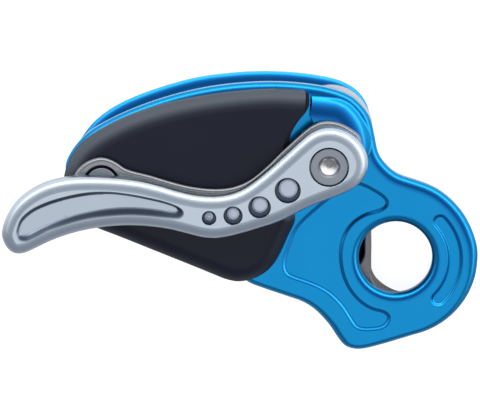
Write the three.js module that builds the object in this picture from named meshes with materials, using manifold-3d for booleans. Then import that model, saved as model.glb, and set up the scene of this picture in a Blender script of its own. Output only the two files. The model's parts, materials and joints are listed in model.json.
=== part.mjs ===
// Assisted braking belay device for a single rope, lying on its rear plate, in millimetres with +Z up.
// The main axle stands at X = 0, Y = 0 while the pieces are made; the last lines move the whole group
// so that its origin is the middle of its box, on the surface that it lies on.
import * as THREE from "three";
import { mergeVertices } from "three/addons/utils/BufferGeometryUtils.js";
import Module from "manifold-3d";

const wasm = await Module();
wasm.setup();

// Plates: the outline's full length and height, the metal and the room left for the rope
const bodyLength = 113;
const bodyHeight = 75;
const plateThick = 4;
const ropeGap = 12;
const plateEdgeRound = 1.6;
const rearEdgeRound = 1.2;

// Carabiner hole and the lobe round it
const holeRadius = 10.1;
const lobeWall = 12.4;
const rearLobeWall = 8.6;
const rearHoleSpare = 1.8;
const lobeFromDeg = -76;
const lobeToDeg = 60;

// Relief of the front plate's face
const panelDepth = 0.5;
const kidneyDepth = 0.9;
const kidneyHalfWidth = 1.9;
const kidneyRadius = 15.4;
const kidneyFromDeg = -44;
const kidneyToDeg = 43;

// Raised shoulder round the axle, with the pocket of the clutch
const bossRise = 3.6;
const bossRoot = 2;
const bossRound = 2.6;
const bossRadius = 11.2;
const bossShift = [-0.6, 1.2];
const bossStepDeg = 125;
const bossFootDeg = 348;
const clutchPocketRadius = 9.4;

// Moulded cover
const coverThick = 4;
const coverRound = 2.6;

// Clearances: faces that rest on each other, running faces and pins in their bores; then the overrun of
// cuts, and the distance within which two corners are one
const seatGap = 0.3;
const runGap = 0.3;
const fitGap = 0.15;
const overrun = 1;
const mergeDistance = 0.0001;

// Main axle, its bolt and its washers
const axleRadius = 4;
const axleHeadRadius = 7;
const axleHeadThick = 1.4;
const axleHeadRecess = 0.8;
const axleHeadChamfer = 0.4;
const plateBushWall = 1.2;
const washerThick = 0.6;
const boltHeadRadius = 5;
const boltHeadHeight = 3.2;
const boltHeadRound = 0.8;
const boltShankRadius = 2.9;
const boltGrip = 13;
const hexKeyRadius = 2.9;
const hexKeyDepth = 2.2;
const boltWasherThick = 0.6;

// Lever: grip, arm, its eye and the clutch hub
const gripLength = 99;
const gripHeight = 36.5;
const gripThick = 6;
const gripRound = 2.2;
const armLength = 69;
const armHeight = 28;
const armThick = 2;
const armRound = 0.5;
const armHubRadius = 11.3;
const armHubFromDeg = 22;
const armHubToDeg = 112;
const armHubWall = 1.2;
const armHeelFromDeg = 250;
const armHeelToDeg = 330;
const eyeRadius = 7.2;
const eyeHoleRadius = 5.4;
const eyeFromDeg = 62;
const eyeToDeg = 285;
const studPinRadius = 1.3;
const studPinLength = 2.6;
const hubRadius = 9;
const hubHexRadius = 6.9;
const hexTurnDeg = 30;
const hubLidThick = 1;
const dishDepth = 2.2;
const dishRound = 0.9;
const buttonPocketDepth = 1.6;
const buttonDrop = 0.4;
const buttonRound = 0.3;
const gripFloor = 1.4;

// Clutch: spring washer, disc, drive pins and balls
const waveWasherRadius = 6.2;
const waveWasherThick = 0.3;
const waveHeight = 0.3;
const waveWasherSpare = 0.6;
const clutchDiscThick = 1.1;
const clutchDiscGap = 1;
const drivePinRadius = 0.9;
const drivePinCircleRadius = 7.7;
const drivePinDepth = 3;
const drivePinDegs = [60, 170];
const pinSunk = 0.7;
const ballRadius = 0.6;
const ballCircleRadius = 6.15;
const ballCount = 3;

// Cam and its stop
const camReach = 17.5;
const camEdgeRound = 0.9;
const camLockDeg = 24;
const slotSpareDeg = 2;
const camBushWall = 1;
const stopPinRadius = 1.5;
const stopPinCircleRadius = 12.4;
const stopPinDepth = 2.6;
const stopPinDeg = 72;

// Coil springs
const camSpringRadius = 5.7;
const camSpringWire = 0.45;
const camSpringTurnCount = 3;
const leverSpringRadius = 4.75;
const leverSpringWire = 0.3;
const coilSpacing = 0.3;

// Friction block, rope guide and post between the plates
const blockEdgeRound = 0.6;
const guideEdgeRound = 0.6;
const postRadius = 3;

// Screws
const screwRadius = 1.25;
const screwHeadRadius = 2.3;
const screwHeadHeight = 1.3;
const screwHeadSunk = 0.4;
const screwBite = 2.4;

// Levels above the surface that the device lies on
const frontLow = plateThick + ropeGap;
const frontTop = frontLow + plateThick;
const coverLow = frontTop + seatGap;
const coverTop = coverLow + coverThick;
const bossTop = frontTop + bossRise;
const armLow = Math.max(coverTop, bossTop) + runGap;
const armTop = armLow + armThick;
const gripLow = armTop + seatGap;
const gripTop = gripLow + gripThick;
const boltSeat = gripLow + gripFloor;
const studTop = gripLow + studPinLength;
const discLow = frontTop + clutchDiscGap;
const discTop = discLow + clutchDiscThick;
const hubLow = discTop + runGap;
const hubStep = armLow - runGap;
const camLow = plateThick + seatGap + washerThick + runGap;
const camTop = frontLow - seatGap - washerThick - runGap;
const blockLow = plateThick + runGap;
const blockTop = frontLow - seatGap;
const boltWasherTop = boltSeat + seatGap + boltWasherThick;
const boltHeadLow = boltWasherTop + seatGap;
const boltHeadTop = boltHeadLow + boltHeadHeight;
const axleHeadTop = axleHeadRecess + axleHeadThick;
const ballLevel = (discTop + hubLow) / 2;
const waveLow = frontTop + (clutchDiscGap - waveHeight - waveWasherThick) / 2;
const camPocketLow = camTop - runGap - coilHeight(camSpringTurnCount, camSpringWire) - runGap;
const hubPocketTop = armTop - hubLidThick;

// Radii, depths and turns that follow from the sizes
const axleBore = axleRadius + fitGap;
const screwBoreRadius = screwRadius + fitGap;
const washerRadius = drivePinCircleRadius - drivePinRadius - runGap;
const camBushRadius = axleBore + camBushWall;
const plateBushRadius = axleBore + plateBushWall;
const armHeelRadius = hubHexRadius + runGap + armHubWall;
const recessDepth = screwHeadSunk + screwHeadHeight + seatGap;
const leverSpringTurnCount = coilTurns(hubPocketTop - discTop - runGap - runGap, leverSpringWire);

// Centres of the carabiner hole and of the lever's eye, as shares of the body and of the arm
const holeCentreShare = [0.165, -0.37];
const eyeCentreShare = [-0.893, -0.207];
const [holeCentre] = scaled([holeCentreShare], bodyLength, bodyHeight);
const [eyeCentre] = scaled([eyeCentreShare], armLength, armHeight);

// Outline points as shares of the body's length and height, measured from the axle, anticlockwise
const shoulderShares = [
  [0.117, 0.025], [0.113, 0.082], [0.103, 0.14], [0.08, 0.187], [0.05, 0.221], [0.002, 0.256],
  [-0.046, 0.272],
];
const crownShares = [
  [-0.132, 0.285], [-0.224, 0.276], [-0.316, 0.253], [-0.408, 0.217], [-0.501, 0.165], [-0.575, 0.101],
  [-0.614, 0.048], [-0.634, -0.018], [-0.634, -0.085], [-0.612, -0.165], [-0.57, -0.225], [-0.54, -0.242],
];
const footShares = [
  [-0.425, -0.317], [-0.31, -0.389], [-0.215, -0.444], [-0.165, -0.487], [-0.115, -0.512], [-0.06, -0.539],
  [-0.03, -0.562], [-0.012, -0.59], [0.012, -0.636], [0.026, -0.674], [0.042, -0.703], [0.07, -0.718],
  [0.12, -0.708], [0.165, -0.69],
];
const neckShares = [[0.221, -0.086], [0.178, -0.061], [0.147, -0.033], [0.126, 0.001]];
const rearNeckShares = [[0.2, -0.125], [0.165, -0.09], [0.135, -0.045], [0.122, -0.005]];
const rearFootShares = [
  [-0.425, -0.305], [-0.31, -0.372], [-0.215, -0.425], [-0.12, -0.48], [-0.03, -0.535], [0.03, -0.6],
  [0.07, -0.64], [0.12, -0.635],
];
const panelShares = [
  [0.08, -0.08], [0.1, -0.095], [0.124, -0.117], [0.139, -0.138], [0.146, -0.161], [0.144, -0.18],
  [0.134, -0.191], [0.112, -0.199], [0.088, -0.213], [0.069, -0.236], [0.053, -0.267], [0.041, -0.3],
  [0.034, -0.345], [0.034, -0.393], [0.042, -0.439], [0.054, -0.472], [0.071, -0.503], [0.093, -0.529],
  [0.115, -0.548], [0.14, -0.559], [0.152, -0.577], [0.155, -0.604], [0.145, -0.627], [0.123, -0.64],
  [0.099, -0.645], [0.079, -0.643], [0.064, -0.627], [0.05, -0.593], [0.03, -0.548], [0.008, -0.515],
  [-0.019, -0.488], [-0.049, -0.465], [-0.073, -0.455], [-0.097, -0.444], [-0.11, -0.417], [-0.112, -0.384],
  [-0.107, -0.351], [-0.1, -0.312], [-0.088, -0.264], [-0.073, -0.219], [-0.055, -0.185], [0.01, -0.17],
  [0.055, -0.13],
];
const coverShares = [
  [-0.06, 0.179], [-0.06, 0.215], [-0.061, 0.247], [-0.068, 0.258], [-0.131, 0.267], [-0.223, 0.257],
  [-0.314, 0.237], [-0.406, 0.205], [-0.498, 0.153], [-0.572, 0.092], [-0.611, 0.037], [-0.63, -0.027],
  [-0.631, -0.1], [-0.615, -0.173], [-0.58, -0.235], [-0.555, -0.254], [-0.431, -0.331], [-0.31, -0.405],
  [-0.243, -0.443], [-0.2, -0.45], [-0.165, -0.424], [-0.135, -0.376], [-0.116, -0.312], [-0.098, -0.254],
  [-0.083, -0.2], [-0.09, -0.145], [-0.114, -0.067], [-0.121, 0], [-0.113, 0.067], [-0.091, 0.124],
];
const blockShares = [
  [0.175, -0.188], [0.143, -0.187], [0.102, -0.203], [0.064, -0.24], [0.027, -0.293], [-0.018, -0.34],
  [-0.07, -0.38], [-0.08, -0.413], [-0.053, -0.473], [0, -0.527], [0.035, -0.585], [0.07, -0.635],
  [0.11, -0.64], [0.15, -0.625], [0.187, -0.585], [0.196, -0.532], [0.169, -0.518], [0.143, -0.5],
  [0.124, -0.474], [0.11, -0.44], [0.106, -0.41], [0.106, -0.33], [0.106, -0.262], [0.112, -0.232],
  [0.142, -0.21], [0.174, -0.206],
];
const blockWindowShares = [
  [0.09, -0.272], [0.091, -0.32], [0.091, -0.378], [0.074, -0.413], [0.045, -0.41], [0.02, -0.37],
  [0.035, -0.33], [0.066, -0.283],
];
const guideShares = [
  [-0.531, -0.147], [-0.425, -0.207], [-0.319, -0.267], [-0.23, -0.317], [-0.159, -0.353], [-0.106, -0.373],
  [-0.1, -0.41], [-0.15, -0.453], [-0.217, -0.42], [-0.319, -0.357], [-0.434, -0.287], [-0.535, -0.213],
];

// Grip outline, dish and buttons as shares of the grip's length and height, measured from the axle
const gripShares = [
  [0.107, 0.038], [0.096, 0.134], [0.07, 0.225], [0.037, 0.282], [0, 0.3], [-0.037, 0.282], [-0.08, 0.192],
  [-0.133, 0.047], [-0.187, -0.094], [-0.241, -0.192], [-0.303, -0.227], [-0.378, -0.207], [-0.487, -0.129],
  [-0.596, -0.096], [-0.705, -0.104], [-0.788, -0.17], [-0.842, -0.264], [-0.881, -0.408], [-0.895, -0.553],
  [-0.878, -0.652], [-0.84, -0.68], [-0.778, -0.608], [-0.707, -0.523], [-0.625, -0.476], [-0.542, -0.457],
  [-0.461, -0.47], [-0.386, -0.515], [-0.315, -0.553], [-0.256, -0.526], [-0.16, -0.436], [-0.078, -0.329],
  [-0.024, -0.263], [0.03, -0.214], [0.069, -0.154], [0.096, -0.058],
];
const dishShares = [
  [-0.854, -0.49], [-0.84, -0.373], [-0.813, -0.32], [-0.759, -0.255], [-0.704, -0.214], [-0.626, -0.189],
  [-0.556, -0.197], [-0.486, -0.236], [-0.431, -0.277], [-0.4, -0.321], [-0.396, -0.367], [-0.416, -0.392],
  [-0.487, -0.381], [-0.566, -0.375], [-0.636, -0.395], [-0.705, -0.433], [-0.76, -0.477], [-0.815, -0.548],
  [-0.842, -0.567],
];
const buttonShares = [[-0.325, -0.395], [-0.262, -0.373], [-0.187, -0.31], [-0.111, -0.186]];
const buttonPocketRadii = [2, 2.6, 3.1, 3.55];
const buttonWidthShares = [0.57, 0.64, 0.69, 0.73];

// Arm outline between its hub and its eye, as shares of the arm's length and height
const armTopShares = [
  [-0.113, 0.279], [-0.191, 0.1], [-0.27, -0.089], [-0.349, -0.211], [-0.446, -0.254], [-0.506, -0.246],
  [-0.584, -0.207], [-0.664, -0.146], [-0.742, -0.093],
];
const armFootShares = [
  [-0.78, -0.466], [-0.667, -0.486], [-0.55, -0.554], [-0.449, -0.593], [-0.348, -0.55], [-0.232, -0.45],
  [-0.116, -0.375],
];

// Cam radius as a share of its reach, at angles in degrees anticlockwise from +X
const camAnglesDeg = [-80, -56, -32, 0, 24, 50, 75, 98, 118, 135, 150, 168, 190, 215, 245];
const camRadiusShares = [
  0.5, 0.514, 0.62, 0.697, 0.754, 0.851, 0.93, 1, 1.03, 1, 0.9, 0.75, 0.64, 0.57, 0.52,
];

// Screw and post places as shares of the body's length and height
const coverScrewShares = [[-0.56, 0], [-0.3, 0.15], [-0.24, -0.32]];
const blockScrewShares = [[0.094, -0.56], [0.15, -0.57], [-0.02, -0.44]];
const guideScrewShares = [[-0.43, -0.247], [-0.215, -0.375]];
const postShare = [-0.36, 0.12];

// How finely curves are divided
const plateSteps = 76;
const gripSteps = 84;
const armSteps = 60;
const turnSteps = 10;
const wireSides = 6;
const waveSteps = 36;
const waves = 3;
const blockSteps = 48;
const guideSteps = 30;
const camSteps = 52;
const roundSteps = 2;
const coverRoundSteps = 3;
const circleSteps = 28;
const smallSteps = 12;
const arcSteps = 6;
const slotEndSteps = 4;
const pocketSteps = [12, 15, 18, 21];
const sharpestMiterShare = 0.5;

// Metals and plastics
function finish(color, roughness, metalness) {
  return new THREE.MeshStandardMaterial({ color, roughness, metalness });
}
const blueAnodised = finish(0x0090d2, 0.28, 0.85);
const satinAlloy = finish(0xbec8d7, 0.35, 0.9);
const polishedSteel = finish(0xb9babd, 0.18, 1);
const greySteel = finish(0x8c8f94, 0.35, 1);
const darkCover = finish(0x262834, 0.5, 0);
const bushBronze = finish(0xa98243, 0.4, 1);
const guidePlastic = finish(0x1d1e22, 0.6, 0);

// Outlines
function scaled(shares, length, height) {
  return shares.map(([x, y]) => [x * length, y * height]);
}
function polar([x, y], radius, deg) {
  const a = THREE.MathUtils.degToRad(deg);
  return [x + radius * Math.cos(a), y + radius * Math.sin(a)];
}
function arc(centre, radius, fromDeg, toDeg, steps) {
  const stepDeg = (toDeg - fromDeg) / steps;
  return Array.from({ length: steps + 1 }, (_, i) => polar(centre, radius, fromDeg + stepDeg * i));
}
function circle(centre, radius, steps = circleSteps) {
  return arc(centre, radius, 0, 360, steps).slice(0, -1);
}
function hexagon(centre, radius) {
  return arc(centre, radius, hexTurnDeg, hexTurnDeg + 360, 6).slice(0, -1);
}
function arcSlot(centre, radius, halfWidth, fromDeg, toDeg, steps) {
  const from = polar(centre, radius, fromDeg);
  const to = polar(centre, radius, toDeg);
  return [
    ...arc(centre, radius + halfWidth, fromDeg, toDeg, steps).slice(0, -1),
    ...arc(to, halfWidth, toDeg, toDeg + 180, slotEndSteps).slice(0, -1),
    ...arc(centre, radius - halfWidth, toDeg, fromDeg, steps).slice(0, -1),
    ...arc(from, halfWidth, fromDeg + 180, fromDeg + 360, slotEndSteps).slice(0, -1),
  ];
}
function smooth(points, steps) {
  const curve = new THREE.CatmullRomCurve3(
    points.map(([x, y]) => new THREE.Vector3(x, y, 0)),
    true,
    "centripetal",
  );
  return curve.getSpacedPoints(steps).slice(0, -1).map((p) => [p.x, p.y]);
}

// Each point of a closed outline moved to its left by an inset
function insetOutline(points, inset) {
  const n = points.length;
  return points.map(([x, y], i) => {
    const [ax, ay] = points[(i + n - 1) % n];
    const [bx, by] = points[(i + 1) % n];
    const inLength = Math.hypot(x - ax, y - ay);
    const outLength = Math.hypot(bx - x, by - y);
    const inNormal = [-(y - ay) / inLength, (x - ax) / inLength];
    const outNormal = [-(by - y) / outLength, (bx - x) / outLength];
    const sum = [inNormal[0] + outNormal[0], inNormal[1] + outNormal[1]];
    const agreement = 1 + inNormal[0] * outNormal[0] + inNormal[1] * outNormal[1];
    const miter = inset / Math.max(agreement, sharpestMiterShare);
    return [x + sum[0] * miter, y + sum[1] * miter];
  });
}

function turnedTo(points, clockwise) {
  const flat = points.map(([x, y]) => new THREE.Vector2(x, y));
  return THREE.ShapeUtils.isClockWise(flat) === clockwise ? points : [...points].reverse();
}

// Closed plate from low to high with its edges rounded
function slab({ outline, holes = [], low, high, topRound = 0, underRound = 0, steps = roundSteps }) {
  const rings = [];
  for (let i = steps; i > 0 && underRound > 0; i--) rings.push(roundRing(i, steps, underRound, low, 1));
  rings.push({ inset: 0, z: low + underRound });
  rings.push({ inset: 0, z: high - topRound });
  for (let i = 1; i <= steps && topRound > 0; i++) rings.push(roundRing(i, steps, topRound, high, -1));

  const loops = [turnedTo(outline, false), ...holes.map((hole) => turnedTo(hole, true))];
  const layers = rings.map(({ inset, z }) => loops.map((loop) => ({ z, points: insetOutline(loop, inset) })));
  const perLayer = loops.reduce((sum, loop) => sum + loop.length, 0);
  const positions = layers.flatMap((layer) =>
    layer.flatMap(({ z, points }) => points.flatMap(([x, y]) => [x, y, z])),
  );
  const faces = [];
  for (let k = 0; k + 1 < layers.length; k++) {
    let start = k * perLayer;
    for (const loop of loops) {
      for (let i = 0; i < loop.length; i++) {
        const a = start + i;
        const b = start + ((i + 1) % loop.length);
        faces.push(a, b, b + perLayer, a, b + perLayer, a + perLayer);
      }
      start += loop.length;
    }
  }
  const capFaces = (layer) => {
    const [contour, ...inner] = layer.map(({ points }) => points.map(([x, y]) => new THREE.Vector2(x, y)));
    return THREE.ShapeUtils.triangulateShape(contour, inner);
  };
  const last = (layers.length - 1) * perLayer;
  for (const [a, b, c] of capFaces(layers[0])) faces.push(a, c, b);
  for (const [a, b, c] of capFaces(layers.at(-1))) faces.push(last + a, last + b, last + c);
  return new THREE.BufferGeometry()
    .setAttribute("position", new THREE.Float32BufferAttribute(positions, 3))
    .setIndex(faces);
}
function roundRing(i, steps, radius, face, into) {
  const angle = ((Math.PI / 2) * i) / steps;
  return { inset: radius * (1 - Math.cos(angle)), z: face + into * radius * (1 - Math.sin(angle)) };
}

// Solid of revolution about a vertical axis, from points of radius and level that start and end on the axis
// or close on themselves
function turned([x, y], profile, steps = circleSteps) {
  const points = profile.map(([r, z]) => new THREE.Vector2(r, z));
  const made = new THREE.LatheGeometry(points, steps);
  return made.rotateX(Math.PI / 2).translate(x, y, 0);
}
function disc(centre, radius, low, high, steps = circleSteps) {
  return turned(centre, [[0, low], [radius, low], [radius, high], [0, high]], steps);
}
function roundedDisc(centre, radius, low, high, round, steps = circleSteps) {
  const corner = round - round * Math.SQRT1_2;
  return turned(
    centre,
    [
      [0, low],
      [radius, low],
      [radius, high - round],
      [radius - corner, high - corner],
      [radius - round, high],
      [0, high],
    ],
    steps,
  );
}
function ring(centre, inner, outer, low, high, steps = circleSteps) {
  return turned(centre, [[inner, low], [outer, low], [outer, high], [inner, high], [inner, low]], steps);
}

// Boolean work on closed geometries
function solidOf(geometry) {
  if (geometry instanceof wasm.Manifold) return geometry;
  const bare = new THREE.BufferGeometry().setAttribute("position", geometry.getAttribute("position"));
  if (geometry.index) bare.setIndex(geometry.index);
  const merged = mergeVertices(bare, mergeDistance);
  const vertProperties = merged.attributes.position.array;
  const corners = [];
  for (let i = 0; i < merged.index.count; i += 3) {
    const [a, b, c] = [0, 1, 2].map((k) => merged.index.getX(i + k));
    if (a !== b && b !== c && c !== a) corners.push(a, b, c);
  }
  const made = fromCorners(vertProperties, corners);
  return made.volume() > 0 ? made : fromCorners(vertProperties, corners.reverse());
}
function fromCorners(vertProperties, corners) {
  return new wasm.Manifold(new wasm.Mesh({ numProp: 3, vertProperties, triVerts: new Uint32Array(corners) }));
}
function join(...pieces) {
  return pieces.map(solidOf).reduce((a, b) => a.add(b));
}
function cut(base, ...tools) {
  return tools.map(solidOf).reduce((a, b) => a.subtract(b), solidOf(base));
}

// Tube that follows a list of centre points and sections, with both its ends closed
function tube(sections) {
  const sides = sections[0].length;
  const positions = sections.flat(2);
  const faces = [];
  for (let k = 0; k + 1 < sections.length; k++)
    for (let i = 0; i < sides; i++) {
      const a = k * sides + i;
      const b = k * sides + ((i + 1) % sides);
      faces.push(a, b, b + sides, a, b + sides, a + sides);
    }
  const last = (sections.length - 1) * sides;
  for (let i = 1; i + 1 < sides; i++) faces.push(0, i + 1, i, last, last + i, last + i + 1);
  return new THREE.BufferGeometry()
    .setAttribute("position", new THREE.Float32BufferAttribute(positions, 3))
    .setIndex(faces);
}
function coilHeight(turns, wire) {
  return turns * (2 * wire + coilSpacing) + 2 * wire;
}
function coilTurns(height, wire) {
  return (height - 2 * wire) / (2 * wire + coilSpacing);
}
function coil(radius, wire, turns, low) {
  const steps = Math.round(turns * turnSteps);
  const rise = turns * (2 * wire + coilSpacing);
  const sections = [];
  for (let i = 0; i <= steps; i++) {
    const turn = (2 * Math.PI * turns * i) / steps;
    const level = low + wire + (rise * i) / steps;
    sections.push(
      circle([0, 0], wire, wireSides).map(([out, up]) => [
        (radius + out) * Math.cos(turn),
        (radius + out) * Math.sin(turn),
        level + up,
      ]),
    );
  }
  return tube(sections);
}
function waveWasher(inner, outer, low, thick, height) {
  const positions = [];
  const faces = [];
  for (let i = 0; i < waveSteps; i++) {
    const turn = (2 * Math.PI * i) / waveSteps;
    const level = low + (height * (1 + Math.cos(waves * turn))) / 2;
    for (const [r, z] of [[inner, level], [outer, level], [outer, level + thick], [inner, level + thick]])
      positions.push(r * Math.cos(turn), r * Math.sin(turn), z);
    for (let k = 0; k < 4; k++) {
      const a = 4 * i + k;
      const b = 4 * i + ((k + 1) % 4);
      const across = 4 * (((i + 1) % waveSteps) - i);
      faces.push(a, b, b + across, a, b + across, a + across);
    }
  }
  return new THREE.BufferGeometry()
    .setAttribute("position", new THREE.Float32BufferAttribute(positions, 3))
    .setIndex(faces);
}

const device = new THREE.Group();
function place(name, geometry, material) {
  const made = solidOf(geometry).getMesh();
  const flat = new THREE.BufferGeometry()
    .setAttribute("position", new THREE.BufferAttribute(made.vertProperties, made.numProp))
    .setIndex(new THREE.BufferAttribute(made.triVerts, 1))
    .toNonIndexed();
  flat.computeVertexNormals();
  const mesh = new THREE.Mesh(flat, material);
  mesh.name = name;
  device.add(mesh);
}

// Places
const axle = [0, 0];
const coverScrews = scaled(coverScrewShares, bodyLength, bodyHeight);
const blockScrews = scaled(blockScrewShares, bodyLength, bodyHeight);
const guideScrews = scaled(guideScrewShares, bodyLength, bodyHeight);
const [post] = scaled([postShare], bodyLength, bodyHeight);
const drivePins = drivePinDegs.map((deg) => polar(axle, drivePinCircleRadius, deg));
const balls = circle(axle, ballCircleRadius, ballCount);
const stopPin = polar(axle, stopPinCircleRadius, stopPinDeg);
const buttons = scaled(buttonShares, gripLength, gripHeight);
const shoulder = scaled(shoulderShares, bodyLength, bodyHeight);
const crown = scaled(crownShares, bodyLength, bodyHeight);

// Both plates share their upper edge; each has its own foot, lobe round the carabiner hole, and neck
function plateOutline(foot, lobeRadius, neck) {
  return smooth(
    [
      ...shoulder,
      ...crown,
      ...scaled(foot, bodyLength, bodyHeight),
      ...arc(holeCentre, lobeRadius, lobeFromDeg, lobeToDeg, smallSteps),
      ...scaled(neck, bodyLength, bodyHeight),
    ],
    plateSteps,
  );
}

// Front plate: rounded plate with a raised shoulder, the carabiner hole, a sunk panel and a kidney groove
function frontPlate() {
  const plate = slab({
    outline: plateOutline(footShares, holeRadius + lobeWall, neckShares),
    holes: [circle(holeCentre, holeRadius)],
    low: frontLow,
    high: frontTop,
    topRound: plateEdgeRound,
  });
  const boss = slab({
    outline: [...arc(bossShift, bossRadius, bossStepDeg, bossFootDeg, circleSteps), ...shoulder],
    low: frontTop - bossRoot,
    high: bossTop,
    topRound: bossRound,
  });
  const panel = slab({
    outline: smooth(scaled(panelShares, bodyLength, bodyHeight), plateSteps),
    low: frontTop - panelDepth,
    high: frontTop + overrun,
  });
  const kidney = slab({
    outline: arcSlot(holeCentre, kidneyRadius, kidneyHalfWidth, kidneyFromDeg, kidneyToDeg, smallSteps),
    low: frontTop - kidneyDepth,
    high: frontTop + overrun,
  });
  const pinSlots = drivePinDegs.map((deg) => {
    const from = deg - camLockDeg - slotSpareDeg;
    const to = deg + slotSpareDeg;
    return slab({
      outline: arcSlot(axle, drivePinCircleRadius, drivePinRadius + runGap, from, to, arcSteps),
      low: frontLow - overrun,
      high: frontTop + overrun,
    });
  });
  return cut(
    join(cut(plate, panel, kidney), boss),
    disc(axle, axleBore, frontLow - overrun, bossTop + overrun),
    disc(axle, clutchPocketRadius, frontTop, bossTop + overrun),
    ...pinSlots,
    disc(stopPin, stopPinRadius + fitGap, frontLow - overrun, frontLow + stopPinDepth, smallSteps),
    ...[...blockScrews, ...guideScrews, post].map((at) =>
      disc(at, screwBoreRadius, frontLow - overrun, frontLow + screwBite, smallSteps),
    ),
    ...coverScrews.map((at) => screwBore(at, frontLow, frontTop + overrun)),
  );
}
place("front_plate", frontPlate(), blueAnodised);

// Rear plate: the one that swings open, with a recess for the axle's head and a bushed bore
function rearPlate() {
  const plate = slab({
    outline: plateOutline(rearFootShares, holeRadius + rearLobeWall, rearNeckShares),
    holes: [circle(holeCentre, holeRadius + rearHoleSpare)],
    low: 0,
    high: plateThick,
    topRound: rearEdgeRound,
    underRound: rearEdgeRound,
  });
  return cut(
    plate,
    disc(axle, plateBushRadius + fitGap, -overrun, plateThick + overrun),
    disc(axle, axleHeadRadius + runGap, -overrun, axleHeadTop + runGap),
  );
}
place("rear_plate", rearPlate(), blueAnodised);
place(
  "plate_bush",
  ring(axle, axleBore, plateBushRadius, axleHeadTop + runGap, plateThick + fitGap),
  bushBronze,
);

// Main axle: a flanged pin held in the front plate, with a threaded bore for the pivot bolt
function mainAxle() {
  return cut(
    join(
      roundedDisc(axle, axleHeadRadius, axleHeadRecess, axleHeadTop, axleHeadChamfer),
      disc(axle, axleRadius, axleHeadRecess, boltSeat),
    ),
    disc(axle, boltShankRadius + fitGap, boltSeat - boltGrip - seatGap, boltSeat + overrun, smallSteps),
  );
}
place("main_axle", mainAxle(), greySteel);
function pivotBolt() {
  return cut(
    join(
      roundedDisc(axle, boltHeadRadius, boltHeadLow, boltHeadTop, boltHeadRound),
      disc(axle, boltShankRadius, boltSeat - boltGrip, boltHeadLow + seatGap, smallSteps),
    ),
    slab({
      outline: hexagon(axle, hexKeyRadius),
      low: boltHeadTop - hexKeyDepth,
      high: boltHeadTop + overrun,
    }),
  );
}
place("pivot_bolt", pivotBolt(), greySteel);
place(
  "bolt_washer",
  ring(axle, boltShankRadius + fitGap, boltHeadRadius, boltSeat + seatGap, boltWasherTop),
  greySteel,
);

// Washers on both sides of the cam
place(
  "rear_washer",
  ring(axle, axleBore, washerRadius, plateThick + seatGap, plateThick + seatGap + washerThick),
  greySteel,
);
place(
  "front_washer",
  ring(axle, axleBore, washerRadius, frontLow - seatGap - washerThick, frontLow - seatGap),
  greySteel,
);

// Cam: a spiral whose radius grows, so that turning clockwise pinches the rope
function camOutline() {
  const points = camAnglesDeg.map((deg, i) => polar(axle, camReach * camRadiusShares[i], deg));
  return smooth(points, camSteps);
}
function cam() {
  const openDeg = stopPinDeg + camLockDeg;
  const stopSlot = arcSlot(axle, stopPinCircleRadius, stopPinRadius + runGap, stopPinDeg, openDeg, arcSteps);
  return cut(
    slab({
      outline: camOutline(),
      low: camLow,
      high: camTop,
      topRound: camEdgeRound,
      underRound: camEdgeRound,
    }),
    disc(axle, camBushRadius + fitGap, camLow - overrun, camTop + overrun),
    disc(axle, camSpringRadius + camSpringWire + runGap, camPocketLow, camTop + overrun),
    slab({ outline: stopSlot, low: camTop - stopPinDepth - runGap, high: camTop + overrun }),
    ...drivePins.map((at) =>
      disc(at, drivePinRadius + fitGap, camTop - drivePinDepth - seatGap, camTop + overrun, smallSteps),
    ),
  );
}
place("cam", cam(), polishedSteel);
place("cam_bush", ring(axle, axleBore, camBushRadius, camLow, camPocketLow), bushBronze);
place(
  "cam_spring",
  coil(camSpringRadius, camSpringWire, camSpringTurnCount, camPocketLow + runGap),
  polishedSteel,
);
place(
  "cam_stop_pin",
  disc(stopPin, stopPinRadius, camTop - stopPinDepth, frontLow + stopPinDepth - seatGap, smallSteps),
  greySteel,
);
drivePins.forEach((at, i) =>
  place(
    `drive_pin_${i + 1}`,
    disc(at, drivePinRadius, camTop - drivePinDepth, discTop - pinSunk, smallSteps),
    greySteel,
  ),
);

// Clutch disc, turned with the cam by the two pins; the balls run in its groove
function clutchDisc() {
  const groove = circle([ballCircleRadius, ballLevel], ballRadius + fitGap, wireSides);
  return cut(
    ring(axle, axleBore, clutchPocketRadius - runGap, discLow, discTop),
    turned(axle, [...groove, groove[0]]),
    ...drivePins.map((at) =>
      disc(at, drivePinRadius + fitGap, discLow - overrun, discTop + overrun, smallSteps),
    ),
  );
}
place("clutch_disc", clutchDisc(), greySteel);
place(
  "clutch_spring",
  waveWasher(axleRadius + waveWasherSpare, waveWasherRadius, waveLow, waveWasherThick, waveHeight),
  polishedSteel,
);

// Lever hub: it turns on the axle over the clutch disc, and its hexagon carries the arm
function ball([x, y], radius) {
  return new THREE.SphereGeometry(radius, smallSteps, smallSteps / 2).translate(x, y, ballLevel);
}
function leverHub() {
  return cut(
    join(
      disc(axle, hubRadius, hubLow, hubStep),
      slab({ outline: hexagon(axle, hubHexRadius), low: hubStep - seatGap, high: armTop }),
    ),
    disc(axle, axleBore, hubLow - overrun, armTop + overrun),
    disc(axle, leverSpringRadius + leverSpringWire + runGap, hubLow - overrun, hubPocketTop),
    ...balls.map((at) => ball(at, ballRadius + fitGap)),
  );
}
place("lever_hub", leverHub(), greySteel);
balls.forEach((at, i) => place(`detent_ball_${i + 1}`, ball(at, ballRadius), polishedSteel));
place(
  "lever_spring",
  coil(leverSpringRadius, leverSpringWire, leverSpringTurnCount, discTop + runGap),
  polishedSteel,
);

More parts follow.
